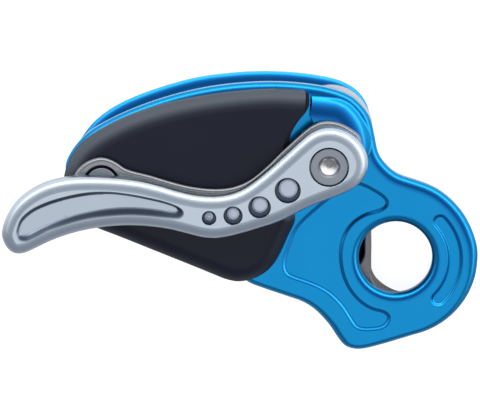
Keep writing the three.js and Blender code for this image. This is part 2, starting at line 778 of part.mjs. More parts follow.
// Lever arm: a steel strap from the hub to an eye that holds the stud of the grip
function leverArm() {
  const outline = smooth(
    [
      ...arc(axle, armHubRadius, armHubFromDeg, armHubToDeg, arcSteps),
      ...scaled(armTopShares, armLength, armHeight),
      ...arc(eyeCentre, eyeRadius, eyeFromDeg, eyeToDeg, smallSteps),
      ...scaled(armFootShares, armLength, armHeight),
      ...arc(axle, armHeelRadius, armHeelFromDeg, armHeelToDeg, arcSteps),
    ],
    armSteps,
  );
  const holes = [circle(eyeCentre, eyeHoleRadius)];
  return cut(
    slab({ outline, holes, low: armLow, high: armTop, topRound: armRound }),
    slab({ outline: hexagon(axle, hubHexRadius + runGap), low: armLow - overrun, high: armTop + overrun }),
  );
}
place("lever_arm", leverArm(), polishedSteel);
place(
  "eye_stud",
  join(
    roundedDisc(eyeCentre, eyeHoleRadius - runGap, armLow, armTop, armRound),
    disc(eyeCentre, studPinRadius, armLow, studTop, smallSteps),
  ),
  polishedSteel,
);

// Lever grip: a rolled rim, a long dish for the fingers, four buttons in round pockets and the bolt's seat
function leverGrip() {
  return join(
    cut(
      slab({
        outline: smooth(scaled(gripShares, gripLength, gripHeight), gripSteps),
        low: gripLow,
        high: gripTop,
        topRound: gripRound,
      }),
      slab({
        outline: smooth(scaled(dishShares, gripLength, gripHeight), armSteps),
        low: gripTop - dishDepth,
        high: gripTop + overrun,
        underRound: dishRound,
      }),
      ...buttons.map((at, i) =>
        disc(at, buttonPocketRadii[i], gripTop - buttonPocketDepth, gripTop + overrun, pocketSteps[i]),
      ),
      disc(axle, boltHeadRadius + runGap, boltSeat, gripTop + overrun),
      disc(axle, axleBore, gripLow - overrun, boltSeat + overrun),
      disc(eyeCentre, studPinRadius + fitGap, gripLow - overrun, studTop + seatGap, smallSteps),
    ),
    ...buttons.map((at, i) =>
      roundedDisc(
        at,
        buttonPocketRadii[i] * buttonWidthShares[i],
        gripTop - buttonPocketDepth - seatGap,
        gripTop - buttonDrop,
        buttonRound,
        smallSteps,
      ),
    ),
  );
}
place("lever_grip", leverGrip(), satinAlloy);

// Screws, all driven from the rear: the head sits in a recess and the shank bites into the piece above
function screw(at, low, tip) {
  return join(
    disc(at, screwHeadRadius, low + screwHeadSunk, low + screwHeadSunk + screwHeadHeight, smallSteps),
    disc(at, screwRadius, low + screwHeadSunk, tip, smallSteps),
  );
}
function screwBore(at, low, high) {
  return join(
    disc(at, screwHeadRadius + fitGap, low - overrun, low + recessDepth, smallSteps),
    disc(at, screwBoreRadius, low - overrun, high, smallSteps),
  );
}
function placeScrews(name, places, low, tip) {
  places.forEach((at, i) => place(`${name}_${i + 1}`, screw(at, low, tip), greySteel));
}

// Cover: a moulded shell with a rolled edge, held by screws from the rope side of the front plate
function frontCover() {
  return cut(
    slab({
      outline: smooth(scaled(coverShares, bodyLength, bodyHeight), plateSteps),
      low: coverLow,
      high: coverTop,
      topRound: coverRound,
      steps: coverRoundSteps,
    }),
    ...coverScrews.map((at) =>
      disc(at, screwBoreRadius, coverLow - overrun, coverLow + screwBite, smallSteps),
    ),
  );
}
place("front_cover", frontCover(), darkCover);
placeScrews("cover_screw", coverScrews, frontLow, coverLow + screwBite - seatGap);

// Friction block: steel that the rope is pinched against, with a thin wall beside the carabiner hole
function frictionBlock() {
  return cut(
    slab({
      outline: smooth(scaled(blockShares, bodyLength, bodyHeight), blockSteps),
      holes: [smooth(scaled(blockWindowShares, bodyLength, bodyHeight), smallSteps)],
      low: blockLow,
      high: blockTop,
      topRound: blockEdgeRound,
      underRound: blockEdgeRound,
      steps: 1,
    }),
    ...blockScrews.map((at) => screwBore(at, blockLow, blockTop + overrun)),
  );
}
place("friction_block", frictionBlock(), polishedSteel);
placeScrews("block_screw", blockScrews, blockLow, frontLow + screwBite - seatGap);

// Rope guide along the lower edge, and the post that keeps the rope in at the upper edge
function ropeGuide() {
  return cut(
    slab({
      outline: smooth(scaled(guideShares, bodyLength, bodyHeight), guideSteps),
      low: blockLow,
      high: blockTop,
      topRound: guideEdgeRound,
      underRound: guideEdgeRound,
      steps: 1,
    }),
    ...guideScrews.map((at) => screwBore(at, blockLow, blockTop + overrun)),
  );
}
place("rope_guide", ropeGuide(), guidePlastic);
placeScrews("guide_screw", guideScrews, blockLow, frontLow + screwBite - seatGap);
place(
  "rope_post",
  cut(disc(post, postRadius, blockLow, blockTop), screwBore(post, blockLow, blockTop + overrun)),
  greySteel,
);
place("post_screw", screw(post, blockLow, frontLow + screwBite - seatGap), greySteel);

// The origin goes to the middle of the box, on the surface that the device lies on
const box = new THREE.Box3().setFromObject(device);
const middle = box.getCenter(new THREE.Vector3());
device.position.set(-middle.x, -middle.y, -box.min.z);

export default device;
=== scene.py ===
"""Looks of an assisted braking belay device, built round its solids. Millimetres about the main axle."""
import json
import math

import bpy
import numpy as np
from mathutils import Matrix, Vector, geometry, kdtree


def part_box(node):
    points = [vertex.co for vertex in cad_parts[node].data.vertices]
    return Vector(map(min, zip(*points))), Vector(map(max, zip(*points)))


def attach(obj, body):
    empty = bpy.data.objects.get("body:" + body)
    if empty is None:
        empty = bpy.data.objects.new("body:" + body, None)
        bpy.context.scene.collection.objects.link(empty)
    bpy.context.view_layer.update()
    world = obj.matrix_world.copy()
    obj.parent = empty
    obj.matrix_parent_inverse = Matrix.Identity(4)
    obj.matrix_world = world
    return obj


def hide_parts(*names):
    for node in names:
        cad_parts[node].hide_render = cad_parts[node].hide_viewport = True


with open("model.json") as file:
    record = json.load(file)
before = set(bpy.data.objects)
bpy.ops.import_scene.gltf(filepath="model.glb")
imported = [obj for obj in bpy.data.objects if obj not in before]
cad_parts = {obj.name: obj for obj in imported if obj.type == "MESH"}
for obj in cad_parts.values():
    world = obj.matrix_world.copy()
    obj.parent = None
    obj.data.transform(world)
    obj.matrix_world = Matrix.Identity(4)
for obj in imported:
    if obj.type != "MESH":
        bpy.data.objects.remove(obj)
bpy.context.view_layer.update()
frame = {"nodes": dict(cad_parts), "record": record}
MM = 0.001
SLOT_OF = {part["node"]: part["material_slot"] for part in frame["record"]["subparts"]}


def node_box(name):
    """Lowest and highest corner of a solid, in millimetres in the frame of the part."""
    low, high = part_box(name)
    return np.array(low) / MM, np.array(high) / MM


def levels_of(name):
    """Lowest and highest level of a solid."""
    low, high = node_box(name)
    return low[2], high[2]


# The axle's place, and the levels of the solids
AXLE_SOLID = node_box("main_axle")
AXLE_HEAD_RADIUS = (AXLE_SOLID[1][0] - AXLE_SOLID[0][0]) / 2
AXLE = np.append((AXLE_SOLID[0][:2] + AXLE_SOLID[1][:2]) / 2, 0)
AXLE_LOW, AXLE_TOP = levels_of("main_axle")
REAR_LOW, REAR_TOP = levels_of("rear_plate")
FRONT_LOW, BOSS_TOP = levels_of("front_plate")
BLOCK_LOW, BLOCK_TOP = levels_of("friction_block")
CAM_LOW, CAM_TOP = levels_of("cam")
COVER_LOW, COVER_TOP = levels_of("front_cover")
ARM_LOW, ARM_TOP = levels_of("lever_arm")
GRIP_LOW, GRIP_TOP = levels_of("lever_grip")
BOLT_LOW, BOLT_TOP = levels_of("pivot_bolt")
WASHER_TOP, STUD_TOP = levels_of("bolt_washer")[1], levels_of("eye_stud")[1]

# Plates
PLATE_THICK = REAR_TOP - REAR_LOW
FRONT_TOP = FRONT_LOW + PLATE_THICK
HOLE_CENTRE = (18.6, -27.75)
HOLE_RADIUS = 10.1
REAR_HOLE_RADIUS = 14.2
LOBE_RADIUS = 22.5
REAR_LOBE_RADIUS = 18.7
LOBE_DEGREES, REAR_LOBE_DEGREES = (-76, -10), (-76, 38)
EDGE_WIDTH, EDGE_DROP = 3.3, 1.6
HOLE_EDGE_WIDTH, HOLE_EDGE_DROP = 2.6, 1.6
REAR_EDGE_WIDTH, REAR_EDGE_DROP = 4.2, 1.5
PLATE_GENTLE, REAR_GENTLE = 0.68, 0.85
REAR_HOLE_GENTLE = 0.42
LOWER_EDGE_KEENER = 0.9
# How far beyond its round the painted shade reaches in from the rear plate's edge
REAR_PAINTED_SHADE_REACH = 4
UNDER_ROUND, REAR_ROUND = 0.5, 1.2
SEAT_CHAMFER = 0.3

# Relief of the front plate
PANEL_DEPTH, PANEL_WALL = 0.65, 1.3
KIDNEY_DEPTH, KIDNEY_WALL = 0.85, 1.25
KIDNEY_CENTRE = (19.1, -28.2)
KIDNEY_RADIUS, KIDNEY_HALF_WIDTH = 15.75, 2.35
KIDNEY_DEGREES = (-44, 43)
BOSS_DOME, BOSS_POWER, BOSS_EASE, BOSS_WALL = 8, 2.3, 0.8, 0.5
BOSS_RISE_SHARE = 0.8
BOSS_RISE = (BOSS_TOP - FRONT_TOP) * BOSS_RISE_SHARE
BOSS_STEP = [(-5.1, 30), (-5.1, 20), (-5.1, 15.5), (-5.4, 12.2)]
BOSS_RADIUS = 10.4
BOSS_ARC_DEGREES, BOSS_HIDDEN_DEGREES = (115, 330), (-70, -5)
BOSS_EXIT = [(30, -7.5), (30, 30)]
BOSS_FAR_X, BOSS_FAR_Y = -60, -30
# How strong the painted shade is on the boss, the plate's edges, the hole's edge and the walls
BOSS_PAINTED_SHADE, EDGE_PAINTED_SHADE, HOLE_PAINTED_SHADE, WALL_PAINTED_SHADE = 1, 0.8, 0.8, 0.9
POCKET_RADIUS = 9.4
POCKET_CHAMFER, POCKET_CHAMFER_SHARE = 0.25, 0.06

# Cover
COVER_ROLL_WIDTH, COVER_ROLL_DROP = 5.2, 3.1
COVER_GENTLE = 0.75
SKIRT_HEIGHT = 1.6
SKIRT_TOP = FRONT_TOP + SKIRT_HEIGHT
COVER_CROWN_WIDTH, COVER_CROWN = 16, 0.3
# The painted highlight on the cover's rim: full to a depth, fading out further in, least along the edges
# that face down the page
RIM_HIGHLIGHT_FULL, RIM_HIGHLIGHT_FADE, RIM_HIGHLIGHT_LEAST = 1.2, 3.8, 0.1

# Lever
GRIP_ROLL_WIDTH, GRIP_ROLL_DROP, GRIP_ROLL_LEAN = 3.2, 2.5, 24
GRIP_CREASE = 0.06
GRIP_UNDER_ROUND = 0.7
DISH_DEPTH = 1.1
# Painted shade in the grip's dish: how dark its floor is, the least share on narrow walls, the wall width
# that takes it fully, and its gain
DISH_FLOOR_PAINTED_SHADE, DISH_LEAST_PAINTED_SHADE, DISH_DARK_WIDTH = 0.12, 0.3, 1.5
DISH_PAINTED_SHADE_GAIN = 5
BOLT_POCKET_RADIUS, BOLT_POCKET_CHAMFER = 5.3, 0.15
BUTTON_SUNK = 0.25
BUTTON_POCKET_DEPTH, BUTTON_WALL, BUTTON_ROUND = 1.7, 0.3, 0.9
BUTTON_FOOT, BUTTON_CROWN = 0.25, 0.12
ARM_ROUND, ARM_UNDER_ROUND = 1.1, 0.55
ARM_HEEL_RADIUS, ARM_HEEL_DEGREES = 8.4, (250, 330)
ARM_HUB_RADIUS = 7.2
EYE_CENTRE = (-61.6, -5.8)
EYE_HOLE_RADIUS, EYE_ROUND = 4.85, 0.3
STUD_RADIUS, STUD_PIN_RADIUS, STUD_ROUND = 4.2, 1.3, 0.5

# Axle, bolt, cam and screws
AXLE_RADIUS, AXLE_BORE = 4, 4.15
AXLE_HEAD_EDGE, AXLE_RIM, AXLE_TIP_CHAMFER = 0.5, 0.1, 0.2
AXLE_DIMPLE_SHARE, AXLE_DIMPLE_RIM_SHARE, AXLE_FACE_SHARE, AXLE_DIMPLE = 0.34, 0.44, 0.86, 0.12
CAM_BORE, CAM_ROUND = 5.45, 0.9
CAM_GROOVE_DEPTH, CAM_GROOVE_SHARE = 0.35, 0.75
HEAD_RADIUS = 5
HEAD_ROUND, HEAD_CHAMFER = 0.25, 0.2
KEY_RADIUS = 2.6
KEY_DEPTH, KEY_TIP_RADIUS = 0.65, 0.13
KEY_CONE_SHARE, KEY_CONE_DEGREES = 0.98, 35
KEY_SINK, KEY_SINK_DEPTH, KEY_SINK_LEAN = 0.4, 0.3, 0.7
SHANK_RADIUS = 2.9
SCREW_HEAD_RADIUS, SCREW_RADIUS = 2.3, 1.25
SCREW_KEY_RADIUS, SCREW_KEY_DEPTH = 1.15, 0.8
SCREW_HEAD_HEIGHT, SCREW_HEAD_SUNK = 1.3, 0.4
SCREW_HEAD_CHAMFER, SCREW_TIP_CHAMFER = 0.25, 0.3
RING_CHAMFER = 0.12
BORE_GAP = 0.15

# Fineness of the meshes
CURVE_STEP, SPLINE_SAMPLES = 0.45, 24
FILL_STEP, GRIP_FILL_STEP, REAR_FILL_STEP = 1.6, 1.2, 2.5
FILL_ROW_SHARE, FILL_CLEAR_SHARE = 0.87, 0.5
LINE_SLACK, EDGE_CLEARANCE = 0.06, 0.03
ROUND_STEPS, SMALL_ROUND_STEPS, BLOCK_FOOT_STEPS, ARM_UNDER_STEPS = 6, 4, 3, 2
GRIP_ROLL_STEPS, BOLT_POCKET_STEPS, POCKET_STEPS = 9, 3, 2
EDGE_SHARES = (0.06, 0.13, 0.22, 0.32, 0.44, 0.58, 0.75, 1)
DOME_SHARES = (0, 0.04, 0.08, 0.13, 0.2, 0.28, 0.37, 0.47, 0.58, 0.7, 0.85, 1)
WALL_SHARES = (0, 0.25, 0.5, 0.75, 1)
DISH_OUTER_LINES = (0, 0.15, 0.3, 0.5, 0.75, 1, 1.3, 1.6, 2)
DISH_INNER_LINES = (0.15, 0.35, 0.6)
CROWN_SHARES = (0.8, 0.6, 0.4, 0.2)
CIRCLE_STEPS, HOLE_STEPS, BUSH_BORE_STEPS, BUTTON_POCKET_STEPS = 72, 140, 64, 60
BORE_STEPS, BUTTON_STEPS, SCREW_STEPS, COUNTERBORE_STEPS, PIN_BORE_STEPS = 48, 48, 36, 32, 24
ARC_STEPS, HEEL_STEPS = 14, 8
KIDNEY_OUTER_STEPS, KIDNEY_INNER_STEPS, KIDNEY_TIP_STEPS = 40, 30, 16
HEXAGON_SIDE_STEPS, SCREW_KEY_SIDE_STEPS = 12, 2
CAM_GROOVE_STEPS, POST_WAIST_STEPS = 9, 9
SMOOTH_DEGREES = 38
CHUNK = 1500
TINY, ON_LINE, NUDGE, CLOSE = 1e-9, 1e-3, 1e-4, 1e-6

# Where the painted light and shade fades: between two slopes, and away from edges that face up the page
PAINTED_SHADE_FADE_SLOPES = (0.35, 0.5)
UPPER_MIDDLE, UPPER_GAIN = 0.3, 1.6

# How far outlines are softened
SOFTEN = 0.6
PANEL_SOFTEN, BOSS_SOFTEN = 0.4, 0.3
GRIP_SOFTEN, DISH_SOFTEN, ARM_SOFTEN = 1.1, 0.5, 0.5
COVER_SOFTEN, SKIRT_SOFTEN = 0.25, 0.2
BLOCK_SOFTEN, WINDOW_SOFTEN, GUIDE_SOFTEN, CAM_SOFTEN = 0.35, 0.3, 0.5, 0.8

# The photograph's frame and the camera that took it
PHOTO_WIDTH, PHOTO_HEIGHT = 480, 420
PIXELS_PER_MM = 3.72
CAMERA_DISTANCE = 700
CAMERA_TILT, CAMERA_TURN = math.radians(11.5), math.radians(1.5)
SENSOR_WIDTH = 36
BOLT_CENTRE_PX = (329, 165.5)
BOLT_CENTRE_LEVEL = 30
CLIP_NEAR, CLIP_FAR = 10, 10000

# How far down its side an edge is seen, by the way that it faces
FACING_MIDDLE, FACING_GAIN = 0.5, 2.5
ROLL_SEEN_SHARE, FOOT_SEEN_SHARE = 0.6, 1 / 3

# Outlines read off the photograph, in pixels
SKIRT_PX = [
    (299, 98), (303.4, 93.4), (307.8, 92.8), (309.2, 99), (308.8, 106.5), (305.6, 112.6),
    (300.5, 118.6), (295.6, 125.4), (291.4, 133), (288.6, 142), (286, 153), (277, 153), (280, 138),
    (288, 122), (297, 110),
]
GRIP_PX = [
    (2.6, 234), (5.2, 220.5), (11.2, 207.5), (20, 197), (30, 189.2), (40, 183.5), (50, 179.6),
    (60, 177), (70, 175.4), (82, 174.6), (100, 174.6), (120, 175.6), (140, 178), (160, 182.6),
    (180, 188.4), (198, 192.2), (215, 193.2), (230, 191.2), (241, 187.2), (251, 181.2),
    (260, 174.3), (270, 166), (280, 157), (290, 148), (300, 139), (310, 131), (319, 126.8),
    (330, 125.4), (340, 127), (350, 131.5), (358, 138), (364, 146.5), (367.6, 156), (368, 166),
    (365.3, 177), (359.5, 184.5), (350, 191), (336, 197), (321, 202.7), (305, 209.3), (290, 217),
    (275, 223.6), (256.5, 229.4), (240, 234.3), (226, 237.6), (213, 239), (200, 237.4),
    (186, 233.8), (170, 229.8), (150, 227), (130, 225.8), (110, 226.8), (90, 229.6), (70, 234.3),
    (50, 241.6), (33, 249.8), (24, 253.8), (16, 254.8), (9.4, 251.8), (4.8, 246), (2.7, 240),
]
DISH_OUTER_PX = [
    (15.8, 233), (20, 219.5), (30, 210), (40, 204.6), (50, 200.6), (64, 196.6), (80, 193.2),
    (95, 191.6), (112, 191.8), (130, 194), (148, 197.4), (165, 201.4), (178, 206.3), (184, 211),
    (184.2, 215.4), (180, 219.2), (172, 219.3), (150, 217.2), (130, 216.2), (110, 217.2),
    (90, 219.6), (70, 224.4), (50, 231), (34, 238.6), (24, 242.6), (17.5, 240),
]
DISH_INNER_PX = [
    (19.6, 230), (24, 220), (34, 212), (48, 205.6), (64, 200.5), (80, 197), (95, 194.8),
    (112, 194.4), (130, 196.4), (148, 200), (165, 204), (175, 207.6), (178.2, 210.4), (174, 211.4),
    (160, 209.2), (145, 207.4), (128, 206.6), (110, 207.6), (92, 210.4), (74, 214.6), (56, 220.8),
    (40, 228), (28, 234), (21.5, 234.6),
]
# Centre and radius of each round pocket in the grip, and of its button
BUTTONS_PX = [
    ((209, 218.3), 7.5, (209, 216.6), 4.4),
    ((233, 216), 9.8, (233.2, 214), 6.4),
    ((259.5, 207.5), 11.5, (260, 205.2), 8),
    ((287.7, 190.8), 13.2, (288.3, 188.7), 9.7),
]
ARM_PX = [
    (361, 138.5), (350, 127.4), (340, 122.4), (330, 120.4), (320, 121.2), (310, 125.8),
    (300, 133.8), (290, 142.8), (280, 152), (270, 162), (260, 171), (250, 178.6), (240, 183.6),
    (228, 186.8), (212, 187.6), (190, 185), (170, 180), (150, 174), (136, 170.6), (129, 168.6),
    (124, 166.3), (118, 162), (110, 158), (101, 156.4), (92, 158.6), (84, 163), (77, 170),
    (73, 180), (74, 192), (81, 203), (92, 210), (105, 211.4), (118, 210), (138, 209.5), (160, 213),
    (187, 219), (213, 223), (240, 219), (269, 209), (299, 200.5),
]
REAR_TOP_PX = [
    (371.8, 124), (370.2, 116), (368.6, 109), (366, 102), (361.6, 94.8), (355, 88), (340, 79.8),
    (320, 75), (300, 72.2), (280, 70.7), (260, 70.4), (236, 71.6), (198, 76.4), (159.5, 86.8),
    (121, 102.2), (98.3, 117.4), (85, 132.4), (77, 146), (71, 162),
]
REAR_NECK_PX = [
    (440, 197), (420, 186.5), (400, 179), (388, 171.5), (380, 162.5), (375.6, 153), (373.6, 142),
    (372.6, 132),
]
PLATE_TOP_PX = [
    (376, 144), (375, 138), (373.8, 132), (372.6, 126), (371, 120), (368.8, 114.3), (365.6, 109.2),
    (361.2, 104), (356, 98.8), (350, 94.4), (340, 90), (330, 87), (320, 84.8), (300, 82.2),
    (274, 80.7), (236, 82.4), (198, 88), (159.5, 98.2), (121, 113), (90.6, 129.8), (78, 142),
    (69.5, 154.5), (65, 167),
]
BOSS_FOOT_PX = [
    (371, 153), (372, 146), (371.6, 138.5), (370, 132), (368, 127), (365, 121), (361, 114.5),
    (356, 108.4), (350, 102.8), (340, 98), (330, 96.2), (320, 95), (308, 94), (290, 93.6),
]
NECK_PX = [
    (477.4, 250), (473.6, 234), (465.5, 217), (458.5, 207.4), (450, 198.6), (440, 190.8),
    (430, 185.4), (420, 181.6), (410, 178.4), (400, 175), (392, 170.2), (385, 163.4), (380.2, 157),
    (377.4, 150.4),
]
PLATE_FOOT_PX = [
    (250, 283.6), (260, 287.4), (270, 290.9), (290, 297.6), (302, 301.8), (312, 307.6),
    (320, 314.6), (330, 326), (338, 338), (345, 346.2), (354, 349.4), (364, 349.2),
]
PANEL_PX = [
    (303, 217), (293, 229), (286.5, 245), (282.4, 258), (281.8, 268), (285, 275.5), (292, 279.6),
    (304, 283.8), (318, 289.4), (330, 297), (341, 308.6), (349, 321), (355, 329), (363, 331.6),
    (374, 331.4), (384, 329.2), (390, 323.4), (391, 315.4), (385, 310), (374, 307), (364, 301.4),
    (354, 291), (347, 278), (343.4, 262), (343.6, 248), (347.4, 235), (355, 224.6), (366, 217.4),
    (379, 213.4), (387, 209.2), (389.8, 202), (385.6, 195.4), (376, 188.8), (364, 182.8),
    (352, 181),
]
COVER_BEYOND_PX = [(300, 180), (330, 150), (360, 120), (362, 90.6)]
COVER_ROLL_POINTS = slice(2, 30)
COVER_PX = [
    (305.4, 91.4), (304.4, 90), (300, 89.4), (274, 88.3), (236, 90.6), (198, 96), (159.5, 104.6),
    (121, 118.2), (90.6, 135.2), (78, 146.5), (69.5, 160), (64.8, 173), (63.6, 188), (69, 207),
    (82, 222.5), (98, 229.6), (120, 238), (150, 250), (180, 262), (200, 270), (216, 276.6),
    (226, 280.4), (238, 282.6), (252, 280.2), (265, 273.6), (274.5, 264), (282, 250.5),
    (288.5, 236), (295, 221), (293, 207), (286, 192), (281.4, 176), (281, 158), (284, 144),
    (289.6, 130.4), (297, 119.4), (303.2, 113.2), (304.4, 111), (305, 107),
]

# Outlines and screws of the pieces between and behind the plates, in millimetres
PLATE_TAIL = [(-71.4, -7.5), (-68.5, -14.3), (-63.5, -18.3)]
PLATE_HIDDEN_FOOT = [(-48, -23.6), (-35, -29), (-24.5, -33.2)]
REAR_FOOT = [
    (-48, -22.9), (-35, -27.9), (-24.3, -31.9), (-13.6, -36), (-3.4, -40.1), (3.4, -45), (7.9, -48),
    (13.6, -47.6),
]
CAM_POLAR = [
    (-80, 8.8), (-56, 9), (-32, 10.4), (0, 11.6), (20, 12.8), (38, 15), (55, 16.6), (70, 17.9),
    (80, 18.3), (87, 18.4), (100, 18.2), (115, 17.9), (132, 17.2), (148, 15.8), (168, 13.1),
    (190, 11.2), (215, 10), (245, 9.1),
]
BLOCK = [
    (19.8, -14.1), (16.2, -14), (11.5, -15.2), (7.2, -18), (3.1, -22), (-2, -25.5), (-7.9, -28.5),
    (-9, -31), (-6, -35.5), (0, -39.5), (4, -43.9), (7.9, -47.6), (12.4, -48), (17, -46.9),
    (21.1, -43.9), (22, -41.2), (18.8, -40.2), (15.7, -38.5), (13.4, -36.3), (12.2, -33.6),
    (12, -30.8), (12, -24.8), (12, -19.7), (12.7, -17.4), (16, -15.8), (19.7, -15.5),
]
BLOCK_WINDOW = [
    (9.7, -20.4), (9.8, -24), (9.7, -28.2), (8, -30.6), (5.1, -30.8), (2.3, -27.8), (4, -24.8),
    (7.5, -21.2),
]
BLOCK_FLOOR = 1.5
BLOCK_FOOT_ROUND, BLOCK_ROUND = 0.2, 0.7
GUIDE = [
    (-60, -11), (-48, -15.5), (-36, -20), (-26, -23.8), (-18, -26.5), (-12, -28), (-11.3, -30.7),
    (-17, -34), (-24.5, -31.5), (-36, -26.8), (-49, -21.5), (-60.5, -16),
]
BLOCK_SCREWS = [(10.6, -42), (16.95, -42.75), (-2.3, -33)]
GUIDE_SCREWS = [(-48.6, -18.5), (-24.3, -28.1)]
COVER_SCREWS = [(-63.3, 0), (-33.9, 11.25), (-27.1, -24)]
POST = (-40.7, 9)
POST_RADIUS, POST_CHAMFER = 3, 0.3
POST_WAIST, POST_WAIST_SHARES = 0.45, (0.1, 0.9)
SCREWS = {"cover_screw": COVER_SCREWS, "block_screw": BLOCK_SCREWS, "guide_screw": GUIDE_SCREWS}

# Grain of the finishes
BROAD_SCALE, BROAD_DETAIL, FINE_DETAIL = 90, 2, 4
EVEN, BRUSHED = (1, 1, 1), (1, 8, 1)
PLAIN_SPECULAR = 0.5

# Light
WHITE = (1, 1, 1, 1)
SKY_COLOUR, SKY_STRENGTH = (0.88, 0.95, 1.1), 0.38
OVERHEAD_TOWARDS, OVERHEAD_DEGREES, OVERHEAD_STRENGTH = (0, -0.2, 1), (34, 17), 0.7
BAND_TOWARDS, BAND_REACH, BAND_STRENGTH = (0.35, 0.94, 0), (-0.7, 0.75), 0.8
BAND_LOW_DEGREES, BAND_HIGH_DEGREES = (-6, 8), (60, 30)
CORE_LOW_DEGREES, CORE_HIGH_DEGREES, CORE_STRENGTH = (16, 21), (34, 28), 2.8
FLOOR_REACH, FLOOR_LEVEL, FLOOR_ROUGHNESS = 4000, -0.05, 0.9
FLOOR_ALBEDO, FLOOR_GLOW = 0.45, 0.84
FLOOR_NEAR_GLOW, FLOOR_FAR_GLOW, FLOOR_BLEND = 0.15, 0.75, (-30, 40)


# Camera
def camera_axes():
    """The camera's right, up and back directions, and its place."""
    flat = math.cos(CAMERA_TILT)
    back = np.array([math.sin(CAMERA_TURN) * flat, math.sin(CAMERA_TILT), math.cos(CAMERA_TURN) * flat])
    right = np.cross((0, 1, 0), back)
    right /= np.linalg.norm(right)
    up = np.cross(back, right)
    across = (BOLT_CENTRE_PX[0] - PHOTO_WIDTH / 2) / PIXELS_PER_MM
    above = (PHOTO_HEIGHT / 2 - BOLT_CENTRE_PX[1]) / PIXELS_PER_MM
    place = np.array([0, 0, BOLT_CENTRE_LEVEL]) + back * CAMERA_DISTANCE - right * across - up * above
    return right, up, back, place


RIGHT, UP, BACK, CAMERA_PLACE = camera_axes()


def make_camera():
    data = bpy.data.cameras.new("camera")
    data.sensor_width = SENSOR_WIDTH
    data.lens = PIXELS_PER_MM * CAMERA_DISTANCE * SENSOR_WIDTH / PHOTO_WIDTH
    data.clip_start, data.clip_end = CLIP_NEAR * MM, CLIP_FAR * MM
    camera = bpy.data.objects.new("camera", data)
    bpy.context.scene.collection.objects.link(camera)
    turn = Matrix((RIGHT, UP, BACK)).transposed().to_4x4()
    camera.matrix_world = Matrix.Translation(Vector((CAMERA_PLACE + AXLE) * MM)) @ turn
    bpy.context.scene.camera = camera


def on_level(pixel, level):
    """The point of a level plane that the photograph shows at a pixel."""
    focal = PIXELS_PER_MM * CAMERA_DISTANCE
    ray = RIGHT * (pixel[0] - PHOTO_WIDTH / 2) / focal + UP * (PHOTO_HEIGHT / 2 - pixel[1]) / focal - BACK
    point = CAMERA_PLACE + ray * (level - CAMERA_PLACE[2]) / ray[2]
    return point[:2]


def traced(pixels, low, high):
    """A closed outline from its pixels. The camera leans towards +Y, so an edge that faces +Y shows its
    foot, at the low level, and an edge that faces -Y its shoulder, at the high level."""
    flat = np.array([on_level(pixel, high) for pixel in pixels])
    foot_share = np.clip(FACING_MIDDLE - left_normals(anticlockwise(flat))[:, 1] * FACING_GAIN, 0, 1)
    if area(flat) < 0:
        foot_share = foot_share[::-1]
    levels = high + (low - high) * foot_share
    return np.array([on_level(pixel, level) for pixel, level in zip(pixels, levels)])


# Closed outlines
def area(loop):
    x, y = np.asarray(loop).T
    return np.sum(x * np.roll(y, -1) - np.roll(x, -1) * y) / 2


def anticlockwise(loop):
    loop = np.asarray(loop, float)
    return loop if area(loop) > 0 else loop[::-1]


def left_normals(loop):
    """Unit normals at a closed loop's points, to the left of its direction."""
    along = np.roll(loop, -1, axis=0) - np.roll(loop, 1, axis=0)
    along /= np.linalg.norm(along, axis=1)[:, None]
    return np.stack((-along[:, 1], along[:, 0]), axis=1)


def around(centre, radius, turns):
    return np.array(centre) + radius * np.stack((np.cos(turns), np.sin(turns)), axis=1)


def circle(centre, radius, steps=CIRCLE_STEPS):
    return around(centre, radius, np.arange(steps) * 2 * math.pi / steps)


def arc(centre, radius, degrees, steps=ARC_STEPS):
    return around(centre, radius, np.radians(np.linspace(*degrees, steps)))


def smooth_loop(points, soften=SOFTEN, step=CURVE_STEP):
    """Even points along a centripetal spline through the given ones, softened over a length."""
    points = anticlockwise(points)
    samples = np.linspace(0, 1, SPLINE_SAMPLES, endpoint=False)
    curve = []
    for i in range(len(points)):
        p0, p1, p2, p3 = (points[(i + k) % len(points)] for k in (-1, 0, 1, 2))
        t0 = 0
        t1 = t0 + np.linalg.norm(p1 - p0) ** 0.5
        t2 = t1 + np.linalg.norm(p2 - p1) ** 0.5
        t3 = t2 + np.linalg.norm(p3 - p2) ** 0.5
        t = (t1 + (t2 - t1) * samples)[:, None]
        first = blended(p0, p1, t0, t1, t)
        middle = blended(p1, p2, t1, t2, t)
        last = blended(p2, p3, t2, t3, t)
        left, right = blended(first, middle, t0, t2, t), blended(middle, last, t1, t3, t)
        curve.append(blended(left, right, t1, t2, t))
    curve = resampled(np.concatenate(curve), step)
    reach = int(3 * soften / step) + 1
    shifts = np.arange(-reach, reach + 1)
    weights = np.exp(-0.5 * (shifts * step / soften) ** 2)
    weights /= weights.sum()
    return resampled(sum(w * np.roll(curve, shift, axis=0) for w, shift in zip(weights, shifts)), step)


def blended(a, b, at_a, at_b, t):
    """From a to b as t goes from one's place to the other's."""
    return a * (at_b - t) / (at_b - at_a) + b * (t - at_a) / (at_b - at_a)


def resampled(curve, step):
    closed = np.vstack((curve, curve[:1]))
    travelled = np.append(0, np.cumsum(np.linalg.norm(np.diff(closed, axis=0), axis=1)))
    count = round(travelled[-1] / step)
    places = np.arange(count) * travelled[-1] / count
    return np.stack([np.interp(places, travelled, closed[:, k]) for k in (0, 1)], axis=1)


def crossed(loop, points):
    """Whether each point lies inside a closed loop."""
    ends = np.roll(loop, -1, axis=0)
    above = (loop[:, 1][None] > points[:, 1:]) != (ends[:, 1][None] > points[:, 1:])
    rise = np.where(ends[:, 1] == loop[:, 1], 1, ends[:, 1] - loop[:, 1])
    at_x = loop[:, 0] + (points[:, 1:] - loop[:, 1]) * (ends[:, 0] - loop[:, 0]) / rise
    return np.sum(above & (points[:, :1] < at_x), axis=1) % 2 == 1


